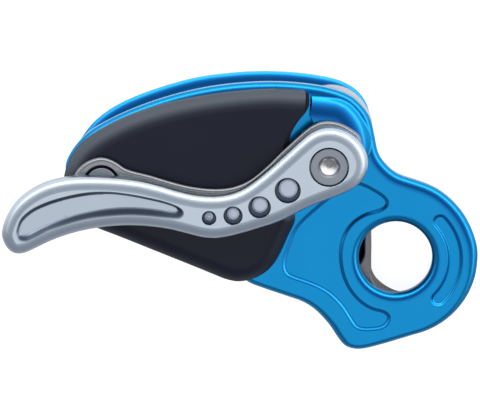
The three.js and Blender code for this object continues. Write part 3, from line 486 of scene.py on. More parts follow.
# Fields: a value and its slope at points of the plane
def loop_field(loop):
    """Distance to a closed loop, positive inside it."""
    loop = anticlockwise(loop)
    ends = np.roll(loop, -1, axis=0)
    along = ends - loop
    squared = np.sum(along**2, axis=1)
    inward = left_normals(loop)

    def field(points):
        values, slopes = np.empty(len(points)), np.empty((len(points), 2))
        for start in range(0, len(points), CHUNK):
            part = points[start : start + CHUNK]
            offset = part[:, None, :] - loop[None]
            share = np.clip(np.sum(offset * along, axis=2) / squared, 0, 1)
            away = offset - share[..., None] * along
            distance = np.sqrt(np.sum(away**2, axis=2))
            nearest = np.argmin(distance, axis=1)
            rows = np.arange(len(part))
            sign = np.where(crossed(loop, part), 1, -1)
            size = distance[rows, nearest]
            edge = share[rows, nearest][:, None]
            normal = inward[nearest] * (1 - edge) + inward[(nearest + 1) % len(loop)] * edge
            direct = away[rows, nearest] * sign[:, None] / np.maximum(size, TINY)[:, None]
            slopes[start : start + CHUNK] = np.where(size[:, None] < ON_LINE, normal, direct)
            values[start : start + CHUNK] = np.where(size < ON_LINE, 0, size * sign)
        return values, slopes

    return field


def circle_field(centre, radius):
    def field(points):
        away = points - np.array(centre)
        distance = np.maximum(np.linalg.norm(away, axis=1), TINY)
        return radius - distance, -away / distance[:, None]

    return field


def outside(field):
    def turned(points):
        values, slopes = field(points)
        return -values, -slopes

    return turned


def within(field, region):
    """A field that counts only inside a region."""

    def kept(points):
        values, slopes = field(points)
        return np.where(region(points)[0] > 0, values, 0), slopes

    return kept


def keener_below(field, share):
    """A field that grows faster, by a share, from the edges that face down the page."""

    def scaled(points):
        values, slopes = field(points)
        scale = 1 + share * np.clip(slopes[:, 1], 0, 1)
        return values * scale, slopes * scale[:, None]

    return scaled


def upper_side(field, curve, least=0):
    """A curve of a field that counts most along the edges that face up the page."""

    def shared(points):
        values, slopes = field(points)
        return curve(values) * np.clip(UPPER_MIDDLE - slopes[:, 1] * UPPER_GAIN, least, 1), slopes

    return shared


def between(outer, inner):
    """Goes from 0 at the outer field's loop to 1 at the inner one's."""

    def field(points):
        a, a_slope = outer(points)
        b, b_slope = inner(points)
        a_slope = np.where(a[:, None] > 0, a_slope, 0)
        b_slope = np.where(b[:, None] < 0, -b_slope, 0)
        a, b = np.maximum(a, 0), np.maximum(-b, 0)
        total = np.maximum(a + b, CLOSE)
        return a / total, (b[:, None] * a_slope - a[:, None] * b_slope) / total[:, None] ** 2

    return field


# Curves from 0 to 1 that shape a wall or an edge
def ramp(width, start=0):
    def curve(values):
        t = np.clip((values - start) / width, 0, 1)
        return t * t * (3 - 2 * t)

    return curve


def edge_fall(width, lean=0):
    """1 at the edge, where it is upright, and 0 from the width inward. It leaves the face level, or at a
    crease when it leans in degrees."""
    start = math.sin(math.radians(lean))
    top = math.cos(math.radians(lean))

    def curve(values):
        t = start + (1 - start) * np.clip(1 - values / width, 0, 1)
        return 1 - np.sqrt(np.maximum(1 - t * t, 0)) / top

    return curve


def rolled(width, gentle):
    """An edge that falls gently at first, by a share of its drop, and then turns down."""

    def curve(values):
        t = np.clip(1 - values / width, 0, 1)
        return gentle * t**2 + (1 - gentle) * t**5

    return curve


def fading(width, start=0):
    """1 at an edge, up to the start, and 0 from the width further in."""
    return lambda values: 1 - ramp(width, start)(values)


def broken(width, share):
    """1, and less by a share at an edge that is broken over a width."""
    return lambda values: 1 - share * edge_fall(width)(values)


def painted_wall_shade(width, most):
    """Painted shade that is strongest halfway up a wall and nothing at its foot and its top."""

    def curve(values):
        t = np.clip(values / width, 0, 1)
        return most * 4 * t * (1 - t)

    return curve


def straight(values):
    return np.clip(values, 0, 1)


def dome(width, power, ease):
    """A shoulder that rises from its foot, after a short ease, and ends level at its width further in."""

    def curve(values):
        inside = np.maximum(values, 0)
        eased = np.where(inside < ease, inside**2 / (2 * ease), inside - ease / 2)
        return 1 - np.clip(1 - eased / width, 0, 1) ** power

    return curve


class Shell:
    """One closed mesh: its points, its faces, the normal at each face's corners and the painted light and
    shade at its points.
    """

    def __init__(self):
        self.points, self.faces, self.normals, self.light_and_shade_marks = [], [], [], {}

    def ring(self, loop, level):
        first = len(self.points)
        levels = np.broadcast_to(level, len(loop))
        self.points.extend((x, y, z) for (x, y), z in zip(loop, levels))
        return np.arange(first, len(self.points))

    def face(self, corners, normals):
        self.faces.append([int(c) for c in corners])
        self.normals.extend(normals)

    def sweep(self, loop, profile, closed=False):
        """Rings along a loop whose material lies to its left. The profile's points are (inset, level),
        from the foot up the outside and inward over the top."""
        inward = left_normals(loop)
        profile = list(profile)
        rings = [self.ring(loop + inward * inset, level) for inset, level in profile]
        if closed:
            rings.append(rings[0])
            profile.append(profile[0])
        steps = np.diff(np.array(profile, float), axis=0)
        outward = np.stack((-steps[:, 1], steps[:, 0]), axis=1)
        outward /= np.linalg.norm(outward, axis=1)[:, None]

        def shared(k, other):
            if closed:
                other %= len(outward)
            if not 0 <= other < len(outward):
                return outward[k]
            if outward[k] @ outward[other] < math.cos(math.radians(SMOOTH_DEGREES)):
                return outward[k]
            both = outward[k] + outward[other]
            return both / np.linalg.norm(both)

        for k, (lower, upper) in enumerate(zip(rings, rings[1:])):
            low, high = (
                np.column_stack((inward * across, np.full(len(loop), up)))
                for across, up in (shared(k, k - 1), shared(k, k + 1))
            )
            for i in range(len(loop)):
                j = (i + 1) % len(loop)
                self.face((lower[i], lower[j], upper[j], upper[i]), (low[i], low[j], high[j], high[i]))
        return rings[0], rings[-1]

    def cap(self, rings, up):
        """A flat face between rings; the first is the outer one."""
        normal = (0, 0, 1 if up else -1)
        if len(rings) == 1:
            corners = rings[0] if up else rings[0][::-1]
            self.face(corners, [normal] * len(corners))
            return
        for corners in self.triangles(rings, [])[0]:
            self.face(corners if up else corners[::-1], [normal] * 3)

    def close(self, foot, crest):
        """Flat faces at both ends of a body without holes."""
        self.cap([foot], False)
        self.cap([crest], True)

    def triangles(self, rings, inner):
        """Triangles between rings that also use inner points, and the indices given to those points."""
        corners = [index for ring in rings for index in ring]
        flat = [Vector(self.points[index][:2]) for index in corners] + [Vector(p) for p in inner]
        edges, start = [], 0
        for ring in rings:
            edges.extend((start + i, start + (i + 1) % len(ring)) for i in range(len(ring)))
            start += len(ring)
        found = geometry.delaunay_2d_cdt(flat, edges, [], 1, CLOSE)
        first = len(self.points)
        names = [corners[o[0]] if o and o[0] < len(corners) else None for o in found[3]]
        fresh = []
        for k, name in enumerate(names):
            if name is None:
                names[k] = first + len(fresh)
                fresh.append((found[0][k].x, found[0][k].y))
        placed = np.array([tuple(p) for p in found[0]])
        middles = np.mean(placed[np.array(found[2])], axis=1)
        kept = np.zeros(len(middles), int)
        for ring in rings:
            kept += crossed(np.array([self.points[i][:2] for i in ring]), middles)
        triangles = []
        for a, b, c in np.array(found[2])[kept == 1]:
            (ux, uy), (vx, vy) = placed[b] - placed[a], placed[c] - placed[a]
            if ux * vy - uy * vx < 0:
                b, c = c, b
            triangles.append((names[a], names[b], names[c]))
        self.points.extend((x, y, 0) for x, y in fresh)
        return triangles, range(first, first + len(fresh))

    def relief(self, rings, level, features, lines, fill, light_and_shade_marks, gentle_only=False):
        """A top face between rings. Its level is changed by features, each a height and the (field,
        curve) pairs whose product shapes it. Lines are (loop, distances) that the mesh follows. The marks
        of painted light and shade are (field, curve) pairs that say how much of its second colour the
        finish takes. They can count on gentle slopes only."""
        loops = [np.array([self.points[i][:2] for i in ring]) for ring in rings]
        limits = [loop_field(loops[0])] + [outside(loop_field(loop)) for loop in loops[1:]]
        inner = []
        for loop, distances in lines:
            normals, own = left_normals(loop), loop_field(loop)
            turned_right = area(loop) < 0
            for distance in distances:
                moved = loop + normals * distance
                true = own(moved)[0] * (-1 if turned_right else 1)
                inner.append(moved[np.abs(true - distance) < LINE_SLACK])
        inner = np.concatenate(inner)
        low, high = loops[0].min(axis=0), loops[0].max(axis=0)
        grid = []
        for k, y in enumerate(np.arange(low[1], high[1], fill * FILL_ROW_SHARE)):
            grid.extend((x, y) for x in np.arange(low[0] + (k % 2) * fill / 2, high[0], fill))
        placed = np.concatenate([inner] + loops)
        tree = kdtree.KDTree(len(placed))
        for k, (x, y) in enumerate(placed):
            tree.insert((x, y, 0), k)
        tree.balance()
        grid = [p for p in grid if tree.find((*p, 0))[2] > fill * FILL_CLEAR_SHARE]
        inner = np.concatenate((inner, grid))
        room = np.min([limit(inner)[0] for limit in limits], axis=0)
        triangles, fresh = self.triangles(rings, inner[room > EDGE_CLEARANCE])

        used = np.concatenate([np.concatenate(rings), np.array(fresh, int)])
        flat = np.array([self.points[i][:2] for i in used])
        levels, slopes = relief_levels(flat, level, features)
        normals = np.column_stack((-slopes, np.ones(len(used))))
        normals /= np.linalg.norm(normals, axis=1)[:, None]
        by_index = dict(zip(used.tolist(), normals))
        plain = 1 - ramp(*PAINTED_SHADE_FADE_SLOPES)(np.linalg.norm(slopes, axis=1)) if gentle_only else 1
        for field, curve in light_and_shade_marks:
            for index, painted_light_and_shade in zip(used.tolist(), curve(field(flat)[0]) * plain):
                self.light_and_shade_marks[index] = max(painted_light_and_shade, self.light_and_shade_marks.get(index, 0))
        for index, (x, y), z in zip(used, flat, levels):
            self.points[index] = (x, y, z)
        for corners in triangles:
            self.face(corners, [by_index[c] for c in corners])

    def object(self, name, finish, body, replaces):
        mesh = bpy.data.meshes.new(name)
        mesh.from_pydata([tuple((np.array(p) + AXLE) * MM) for p in self.points], [], self.faces)
        mesh.polygons.foreach_set("use_smooth", [True] * len(self.faces))
        mesh.normals_split_custom_set([tuple(n) for n in self.normals])
        mesh.materials.append(FINISHES[finish])
        # The painted light and shade at the points goes to the mesh as a point attribute
        if self.light_and_shade_marks:
            painted_light_and_shade = mesh.attributes.new("painted_light_and_shade", "FLOAT", "POINT")
            painted_light_and_shade.data.foreach_set("value", [self.light_and_shade_marks.get(k, 0) for k in range(len(self.points))])
        piece = bpy.data.objects.new(name, mesh)
        bpy.context.scene.collection.objects.link(piece)
        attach(piece, body)
        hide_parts(replaces)


def relief_levels(flat, level, features):
    """Level and slope at points of a relief."""
    known = {}
    levels, slopes = np.full(len(flat), float(level)), np.zeros((len(flat), 2))
    for height, factors in features:
        values, rates = [], []
        for field, curve in factors:
            if id(field) not in known:
                known[id(field)] = field(flat)
            value, slope = known[id(field)]
            values.append(curve(value))
            rates.append(((curve(value + NUDGE) - curve(value)) / NUDGE)[:, None] * slope)
        levels += height * np.prod(values, axis=0)
        for k, rate in enumerate(rates):
            others = np.prod([v for m, v in enumerate(values) if m != k], axis=0)
            slopes += height * rate * np.broadcast_to(others, len(flat))[:, None]
    return levels, slopes


def rounded(radius, level, into, steps=ROUND_STEPS):
    """Profile points of a quarter round at an edge. At the foot of a wall into is 1, at its top -1."""
    turns = np.linspace(0, math.pi / 2, steps + 1)
    points = [(radius * (1 - math.cos(t)), level + into * radius * (1 - math.sin(t))) for t in turns]
    return points[::-1] if into > 0 else points


def turned_edge(radius, size, level, steps=SMALL_ROUND_STEPS):
    """Radius and level of points on the rounded upper edge of a turned body."""
    return [(radius - inset, height) for inset, height in rounded(size, level, -1, steps)]


def distances(width, steps):
    """Distances from an edge that divide its round evenly."""
    return [width * (1 - math.cos(math.pi / 2 * k / steps)) for k in range(1, steps + 1)]


def shares_of(loop, width, shares):
    """A loop and the distances from it that are shares of a width."""
    return loop, [width * share for share in shares]


def to_and_back(normals, i, j):
    """Normals of a face whose corners run along one ring and back along the next."""
    return normals[i], normals[j], normals[j], normals[i]


def lathe(shell, centre, profile, closed=False, steps=CIRCLE_STEPS):
    """A turned body from points of (radius, level), up its outside and inward over its top."""
    widest = max(radius for radius, _ in profile)
    loop = circle(centre, widest, steps)
    return shell.sweep(loop, [(widest - radius, level) for radius, level in profile], closed)


# Materials
class Graph:
    """Adds nodes to a tree. An input takes a value or another node's output."""

    def __init__(self, tree):
        self.nodes, self.links = tree.nodes, tree.links

    def feed(self, socket, value):
        if isinstance(value, bpy.types.NodeSocket):
            self.links.new(value, socket)
        else:
            socket.default_value = value

    def add(self, kind, output, inputs=(), **settings):
        node = self.nodes.new("ShaderNode" + kind)
        for key, value in settings.items():
            setattr(node, key, value)
        for name, value in dict(inputs).items():
            self.feed(node.inputs[name], value)
        return node.outputs[output]

    def noise(self, scale, detail, stretch):
        """Noise at a scale in features per metre, in the object's own coordinates."""
        place = self.add("TexCoord", "Object")
        mapped = self.add("Mapping", "Vector", {"Vector": place, "Scale": stretch})
        return self.add("TexNoise", "Fac", {"Vector": mapped, "Scale": scale, "Detail": detail})

    def mix(self, factor, first, second):
        return self.add("Mix", "Result", {"Factor": factor, "A": first, "B": second}, data_type="RGBA")

    def spread(self, factor, low, high):
        return self.add("MapRange", "Result", {"Value": factor, "To Min": low, "To Max": high})

    def soft_step(self, value, low, high):
        """0 below low, 1 above high, and a soft rise between. It falls when low is the greater."""
        limits = {"Value": value, "From Min": low, "From Max": high}
        return self.add("MapRange", "Result", limits, interpolation_type="SMOOTHSTEP")

    def calculate(self, operation, first, second):
        return self.add("Math", "Value", {0: first, 1: second}, operation=operation)

    def towards(self, direction, aim):
        """How far a direction points to an aim, from -1 to 1."""
        pair = {0: direction, 1: Vector(aim).normalized()}
        return self.add("VectorMath", "Value", pair, operation="DOT_PRODUCT")


def opaque(colour):
    return (*colour, 1)


def new_material(name):
    material = bpy.data.materials.new(name)
    material.use_nodes = True
    return material, Graph(material.node_tree), material.node_tree.nodes["Principled BSDF"].inputs


def surface(
    name,
    metallic,
    colours,
    roughness,
    grain,
    coat=(0, 0),
    stretch=EVEN,
    specular=PLAIN_SPECULAR,
    second=None,
):
    """A finish whose colour and roughness vary a little, with a fine grain of (features per metre, depth
    in mm). By the mesh's painted light and shade it goes towards its second colour."""
    material, graph, inputs = new_material(name)
    broad = graph.noise(BROAD_SCALE, BROAD_DETAIL, EVEN)
    fine = graph.noise(grain[0], FINE_DETAIL, stretch)
    colour = graph.mix(broad, *(opaque(c) for c in colours))
    if second:
        # The second colour is painted light and shade, mixed in by the mesh's attribute
        colour = graph.mix(graph.add("Attribute", "Fac", attribute_name="painted_light_and_shade"), colour, opaque(second))
    graph.feed(inputs["Base Color"], colour)
    graph.feed(inputs["Roughness"], graph.spread(fine, *roughness))
    graph.feed(inputs["Normal"], graph.add("Bump", "Normal", {"Height": fine, "Distance": grain[1] * MM}))
    inputs["Metallic"].default_value = metallic
    inputs["Specular IOR Level"].default_value = specular
    inputs["Coat Weight"].default_value, inputs["Coat Roughness"].default_value = coat
    return material


# Each finish is metallic or not, and has two colours that mix, a range of roughness and a grain
RECIPES = {
    "blue_anodised": (1, ((0, 0.238, 0.525), (0, 0.262, 0.575)), (0.2, 0.28), (5000, 0.002)),
    "satin_alloy": (1, ((0.51, 0.57, 0.63), (0.55, 0.61, 0.67)), (0.24, 0.38), (6000, 0.008)),
    "button_alloy": (1, ((0.44, 0.48, 0.56), (0.5, 0.54, 0.62)), (0.24, 0.34), (6000, 0.006)),
    "polished_steel": (1, ((0.4, 0.42, 0.45), (0.47, 0.49, 0.52)), (0.16, 0.32), (1600, 0.003)),
    "grey_steel": (1, ((0.25, 0.27, 0.3), (0.3, 0.32, 0.35)), (0.24, 0.4), (3500, 0.004)),
    "bolt_steel": (1, ((0.24, 0.265, 0.295), (0.29, 0.31, 0.34)), (0.24, 0.4), (3500, 0.004)),
    "arm_steel": (1, ((0.23, 0.24, 0.25), (0.3, 0.305, 0.315)), (0.2, 0.36), (1600, 0.004)),
    "stud_steel": (1, ((0.2, 0.225, 0.25), (0.24, 0.265, 0.29)), (0.24, 0.4), (3500, 0.004)),
    "dark_cover": (0, ((0.002, 0.003, 0.014), (0.004, 0.005, 0.018)), (0.32, 0.42), (4000, 0.01)),
    "block_steel": (1, ((0.17, 0.16, 0.16), (0.22, 0.205, 0.205)), (0.3, 0.45), (2500, 0.004)),
    "bush_bronze": (1, ((0.5, 0.33, 0.14), (0.6, 0.42, 0.2)), (0.3, 0.45), (3000, 0.003)),
    "guide_plastic": (0, ((0.016, 0.016, 0.018), (0.022, 0.022, 0.025)), (0.5, 0.65), (3500, 0.012)),
}
# What some finishes have besides: a coat, a brushed grain, less specular or a second colour for painted
# light and shade
EXTRAS = {
    # Second colours: painted shade on blue_anodised, satin_alloy and block_steel, a painted highlight on
    # dark_cover, painted light in bolt_steel's socket
    "blue_anodised": {"coat": (0.26, 0.12), "second": (0, 0.13, 0.44)},
    "satin_alloy": {"second": (0.06, 0.08, 0.11)},
    "polished_steel": {"stretch": BRUSHED},
    "bolt_steel": {"second": (0.5, 0.49, 0.49)},
    "arm_steel": {"stretch": BRUSHED},
    "dark_cover": {"specular": 0.25, "second": (0.085, 0.1, 0.12)},
    "block_steel": {"second": (0, 0.003, 0.02)},
}
FINISHES = {name: surface(name, *recipe, **EXTRAS.get(name, {})) for name, recipe in RECIPES.items()}


def dress_solids():
    """Gives each solid that stays in sight the finish of its slot."""
    for name, solid in frame["nodes"].items():
        for slot in solid.material_slots:
            slot.material = FINISHES[SLOT_OF[name]]


# Outlines
def on_levels(pixels, level):
    return [on_level(pixel, level) for pixel in pixels]


def joined(*stretches, soften=SOFTEN):
    return smooth_loop(np.concatenate(stretches), soften)


PLATE_CREST = traced(PLATE_TOP_PX, FRONT_LOW, FRONT_TOP)
FRONT_FOOT = on_levels(PLATE_FOOT_PX, FRONT_TOP - EDGE_DROP / 2)
FRONT_LOBE = arc(HOLE_CENTRE, LOBE_RADIUS, LOBE_DEGREES)
FRONT_NECK = on_levels(NECK_PX, FRONT_LOW + PLATE_THICK / 2)
FRONT_OUTLINE = joined(PLATE_CREST, PLATE_TAIL, PLATE_HIDDEN_FOOT, FRONT_FOOT, FRONT_LOBE, FRONT_NECK)
REAR_CREST = traced(REAR_TOP_PX, REAR_LOW + REAR_ROUND * FOOT_SEEN_SHARE, REAR_TOP)
REAR_LOBE = arc(HOLE_CENTRE, REAR_LOBE_RADIUS, REAR_LOBE_DEGREES)
REAR_NECK = on_levels(REAR_NECK_PX, REAR_TOP - REAR_EDGE_DROP)
REAR_OUTLINE = joined(REAR_CREST, PLATE_TAIL, REAR_FOOT, REAR_LOBE, REAR_NECK)
PANEL = smooth_loop(on_levels(PANEL_PX, FRONT_TOP), PANEL_SOFTEN)
BOSS_ARC = arc((0, 0), BOSS_RADIUS, BOSS_ARC_DEGREES)
BOSS_REGION = joined(BOSS_STEP, BOSS_ARC, BOSS_EXIT, soften=BOSS_SOFTEN)
BOSS_CREST = on_levels(BOSS_FOOT_PX, FRONT_TOP)
BOSS_FAR = [(BOSS_FAR_X, BOSS_CREST[-1][1]), (BOSS_FAR_X, BOSS_FAR_Y), (0, BOSS_FAR_Y)]
BOSS_HIDDEN = arc((0, 0), BOSS_RADIUS, BOSS_HIDDEN_DEGREES)
BOSS_FOOT = joined(BOSS_CREST, BOSS_FAR, BOSS_HIDDEN, soften=BOSS_SOFTEN)
GRIP = smooth_loop(traced(GRIP_PX, GRIP_LOW, GRIP_TOP - GRIP_ROLL_DROP * ROLL_SEEN_SHARE), GRIP_SOFTEN)
DISH_OUTER = smooth_loop(on_levels(DISH_OUTER_PX, GRIP_TOP), DISH_SOFTEN)
DISH_INNER = smooth_loop(on_levels(DISH_INNER_PX, GRIP_TOP - DISH_DEPTH), DISH_SOFTEN)
ARM_HEEL = arc((0, 0), ARM_HEEL_RADIUS, ARM_HEEL_DEGREES, HEEL_STEPS)
ARM = joined(traced(ARM_PX, ARM_LOW, ARM_TOP), ARM_HEEL, soften=ARM_SOFTEN)
COVER_SEEN = COVER_TOP - COVER_ROLL_DROP * ROLL_SEEN_SHARE
COVER_OUTLINE = smooth_loop(traced(COVER_PX, COVER_LOW, COVER_SEEN), COVER_SOFTEN)
COVER_ROLL_PX = COVER_PX[COVER_ROLL_POINTS] + COVER_BEYOND_PX
COVER_ROLL = smooth_loop(traced(COVER_ROLL_PX, COVER_LOW, COVER_SEEN), COVER_SOFTEN)
COVER_FIELD = loop_field(COVER_ROLL)
SKIRT = smooth_loop(on_levels(SKIRT_PX, SKIRT_TOP), SKIRT_SOFTEN)
CAM_OUTLINE = [(r * math.cos(math.radians(d)), r * math.sin(math.radians(d))) for d, r in CAM_POLAR]


def kidney_loop():
    start, end = KIDNEY_DEGREES
    outer, inner = KIDNEY_RADIUS + KIDNEY_HALF_WIDTH, KIDNEY_RADIUS - KIDNEY_HALF_WIDTH
    tips = [arc(KIDNEY_CENTRE, KIDNEY_RADIUS, (turn, turn), 1)[0] for turn in (end, start)]
    stretches = [
        arc(KIDNEY_CENTRE, outer, (start, end), KIDNEY_OUTER_STEPS),
        arc(tips[0], KIDNEY_HALF_WIDTH, (end, end + 180), KIDNEY_TIP_STEPS),
        arc(KIDNEY_CENTRE, inner, (end, start), KIDNEY_INNER_STEPS),
        arc(tips[1], KIDNEY_HALF_WIDTH, (start + 180, start + 360), KIDNEY_TIP_STEPS),
    ]
    return resampled(np.concatenate(stretches), CURVE_STEP)


def hexagon(radius, steps=HEXAGON_SIDE_STEPS):
    corners = circle((0, 0), radius, 6)
    points = []
    for start, end in zip(corners, np.roll(corners, -1, axis=0)):
        points.extend(start + (end - start) * s / steps for s in range(steps))
    return np.array(points)


# Pieces
def make_front_plate():
    shell = Shell()
    hole = circle(HOLE_CENTRE, HOLE_RADIUS, HOLE_STEPS)[::-1]
    pocket = circle((0, 0), POCKET_RADIUS)[::-1]
    bore = circle((0, 0), AXLE_BORE, BORE_STEPS)[::-1]
    under = rounded(UNDER_ROUND, FRONT_LOW, 1)
    foot, crest = shell.sweep(FRONT_OUTLINE, under + [(0, FRONT_TOP - EDGE_DROP)])
    hole_foot, hole_crest = shell.sweep(hole, under + [(0, FRONT_TOP - HOLE_EDGE_DROP)])
    floor_outer, pocket_crest = shell.sweep(pocket, [(0, FRONT_TOP), (0, FRONT_TOP + BOSS_RISE)])
    bore_foot, bore_crest = shell.sweep(bore, [(0, FRONT_LOW), (0, FRONT_TOP)])
    shell.cap([floor_outer, bore_crest], True)
    lows = [foot, hole_foot, bore_foot] + [counterbore(shell, place, FRONT_LOW) for place in COVER_SCREWS]
    shell.cap(lows, False)

    kidney = kidney_loop()
    outline_field, region = loop_field(FRONT_OUTLINE), loop_field(BOSS_REGION)
    hole_field = outside(circle_field(HOLE_CENTRE, HOLE_RADIUS))
    pocket_field = outside(circle_field((0, 0), POCKET_RADIUS))
    panel_field, kidney_field, foot_field = loop_field(PANEL), loop_field(kidney), loop_field(BOSS_FOOT)
    shoulder = [
        (foot_field, dome(BOSS_DOME, BOSS_POWER, BOSS_EASE)),
        (region, ramp(BOSS_WALL)),
        (pocket_field, broken(POCKET_CHAMFER, POCKET_CHAMFER_SHARE)),
    ]
    features = [
        (-EDGE_DROP, [(keener_below(outline_field, LOWER_EDGE_KEENER), rolled(EDGE_WIDTH, PLATE_GENTLE))]),
        (-HOLE_EDGE_DROP, [(hole_field, rolled(HOLE_EDGE_WIDTH, PLATE_GENTLE))]),
        (-PANEL_DEPTH, [(panel_field, ramp(PANEL_WALL))]),
        (-KIDNEY_DEPTH, [(kidney_field, ramp(KIDNEY_WALL))]),
        (BOSS_RISE, shoulder),
    ]
    lines = [
        shares_of(FRONT_OUTLINE, EDGE_WIDTH, EDGE_SHARES),
        shares_of(BOSS_FOOT, BOSS_DOME, DOME_SHARES),
        shares_of(hole, HOLE_EDGE_WIDTH, EDGE_SHARES),
        shares_of(PANEL, PANEL_WALL, WALL_SHARES),
        shares_of(kidney, KIDNEY_WALL, WALL_SHARES),
        shares_of(BOSS_REGION, BOSS_WALL, WALL_SHARES),
        (pocket, distances(POCKET_CHAMFER, POCKET_STEPS)),
    ]
    # Painted shade: a darker blue on the edges at the top, the hole's rim, the panel and kidney walls and
    # the boss, on gentle slopes only
    light_and_shade_marks = [
        (upper_side(outline_field, painted_wall_shade(EDGE_WIDTH, EDGE_PAINTED_SHADE)), straight),
        (upper_side(hole_field, painted_wall_shade(HOLE_EDGE_WIDTH, HOLE_PAINTED_SHADE)), straight),
        (panel_field, painted_wall_shade(PANEL_WALL, WALL_PAINTED_SHADE)),
        (kidney_field, painted_wall_shade(KIDNEY_WALL, WALL_PAINTED_SHADE)),
        (within(foot_field, region), painted_wall_shade(BOSS_DOME, BOSS_PAINTED_SHADE)),
    ]
    rings = [crest, hole_crest, pocket_crest]
    shell.relief(rings, FRONT_TOP, features, lines, FILL_STEP, light_and_shade_marks, gentle_only=True)
    shell.object("front_plate_fine", "blue_anodised", "frame", "front_plate")


def counterbore(shell, place, level):
    """A blind stepped bore that opens downwards at a level, and the ring of its mouth."""
    wide = circle(place, SCREW_HEAD_RADIUS + BORE_GAP, COUNTERBORE_STEPS)[::-1]
    narrow = circle(place, SCREW_RADIUS + BORE_GAP, PIN_BORE_STEPS)[::-1]
    step = level + SCREW_HEAD_SUNK + SCREW_HEAD_HEIGHT + 2 * BORE_GAP
    mouth, wide_top = shell.sweep(wide, [(0, level), (0, step)])
    narrow_foot, narrow_top = shell.sweep(narrow, [(0, step), (0, step + SCREW_RADIUS)])
    shell.cap([wide_top[::-1], narrow_foot], False)
    shell.cap([narrow_top[::-1]], False)
    return mouth


def make_rear_plate():
    shell = Shell()
    hole = circle(HOLE_CENTRE, REAR_HOLE_RADIUS, HOLE_STEPS)[::-1]
    low, high = node_box("plate_bush")
    bore = circle((0, 0), (high[0] - low[0]) / 2 + BORE_GAP, BUSH_BORE_STEPS)[::-1]
    seat = circle((0, 0), AXLE_HEAD_RADIUS + 2 * BORE_GAP)[::-1]
    profile = rounded(REAR_ROUND, REAR_LOW, 1) + [(0, REAR_TOP - REAR_EDGE_DROP)]
    foot, crest = shell.sweep(REAR_OUTLINE, profile)
    hole_foot, hole_crest = shell.sweep(hole, profile)
    seat_profile = [(SEAT_CHAMFER, REAR_LOW), (0, REAR_LOW + SEAT_CHAMFER), (0, low[2])]
    seat_foot, seat_top = shell.sweep(seat, seat_profile)
    bore_foot, bore_crest = shell.sweep(bore, [(0, low[2]), (0, REAR_TOP)])
    shell.cap([seat_top[::-1], bore_foot], False)
    shell.cap([foot, hole_foot, seat_foot], False)
    outline_field = loop_field(REAR_OUTLINE)
    hole_field = outside(circle_field(HOLE_CENTRE, REAR_HOLE_RADIUS))
    features = [
        (-REAR_EDGE_DROP, [(outline_field, rolled(REAR_EDGE_WIDTH, REAR_GENTLE))]),
        (-REAR_EDGE_DROP, [(hole_field, rolled(HOLE_EDGE_WIDTH, REAR_HOLE_GENTLE))]),
    ]
    # Painted shade: a darker blue band all along the rear plate's edge, on gentle slopes only
    light_and_shade_marks = [(outline_field, fading(REAR_EDGE_WIDTH + REAR_PAINTED_SHADE_REACH))]
    lines = [
        shares_of(REAR_OUTLINE, REAR_EDGE_WIDTH, EDGE_SHARES),
        shares_of(hole, HOLE_EDGE_WIDTH, EDGE_SHARES),
    ]
    rings = [crest, hole_crest, bore_crest]
    shell.relief(rings, REAR_TOP, features, lines, REAR_FILL_STEP, light_and_shade_marks, gentle_only=True)
    shell.object("rear_plate_fine", "blue_anodised", "side_plate", "rear_plate")


def make_cover():
    shell = Shell()
    edge_level = COVER_TOP - COVER_ROLL_DROP - COVER_CROWN
    foot, crest = shell.sweep(COVER_OUTLINE, [(0, COVER_LOW), (0, edge_level)])
    shell.cap([foot], False)
    features = [
        (-COVER_ROLL_DROP, [(COVER_FIELD, rolled(COVER_ROLL_WIDTH, COVER_GENTLE))]),
        (-COVER_CROWN, [(COVER_FIELD, edge_fall(COVER_CROWN_WIDTH))]),
    ]
    lines = [shares_of(COVER_ROLL, COVER_ROLL_WIDTH, EDGE_SHARES)]
    # Painted highlight: a paler grey along the cover's rim, strongest on the edges that face up the page
    painted_rim_highlight = upper_side(COVER_FIELD, fading(RIM_HIGHLIGHT_FADE, RIM_HIGHLIGHT_FULL), RIM_HIGHLIGHT_LEAST)
    shell.relief([crest], COVER_TOP, features, lines, FILL_STEP, [(painted_rim_highlight, straight)])
    shell.object("front_cover_fine", "dark_cover", "frame", "front_cover")
    skirt = Shell()
    skirt.close(*skirt.sweep(SKIRT, [(0, COVER_LOW), (0, SKIRT_TOP)]))
    skirt.object("cover_skirt", "dark_cover", "frame", "front_cover")


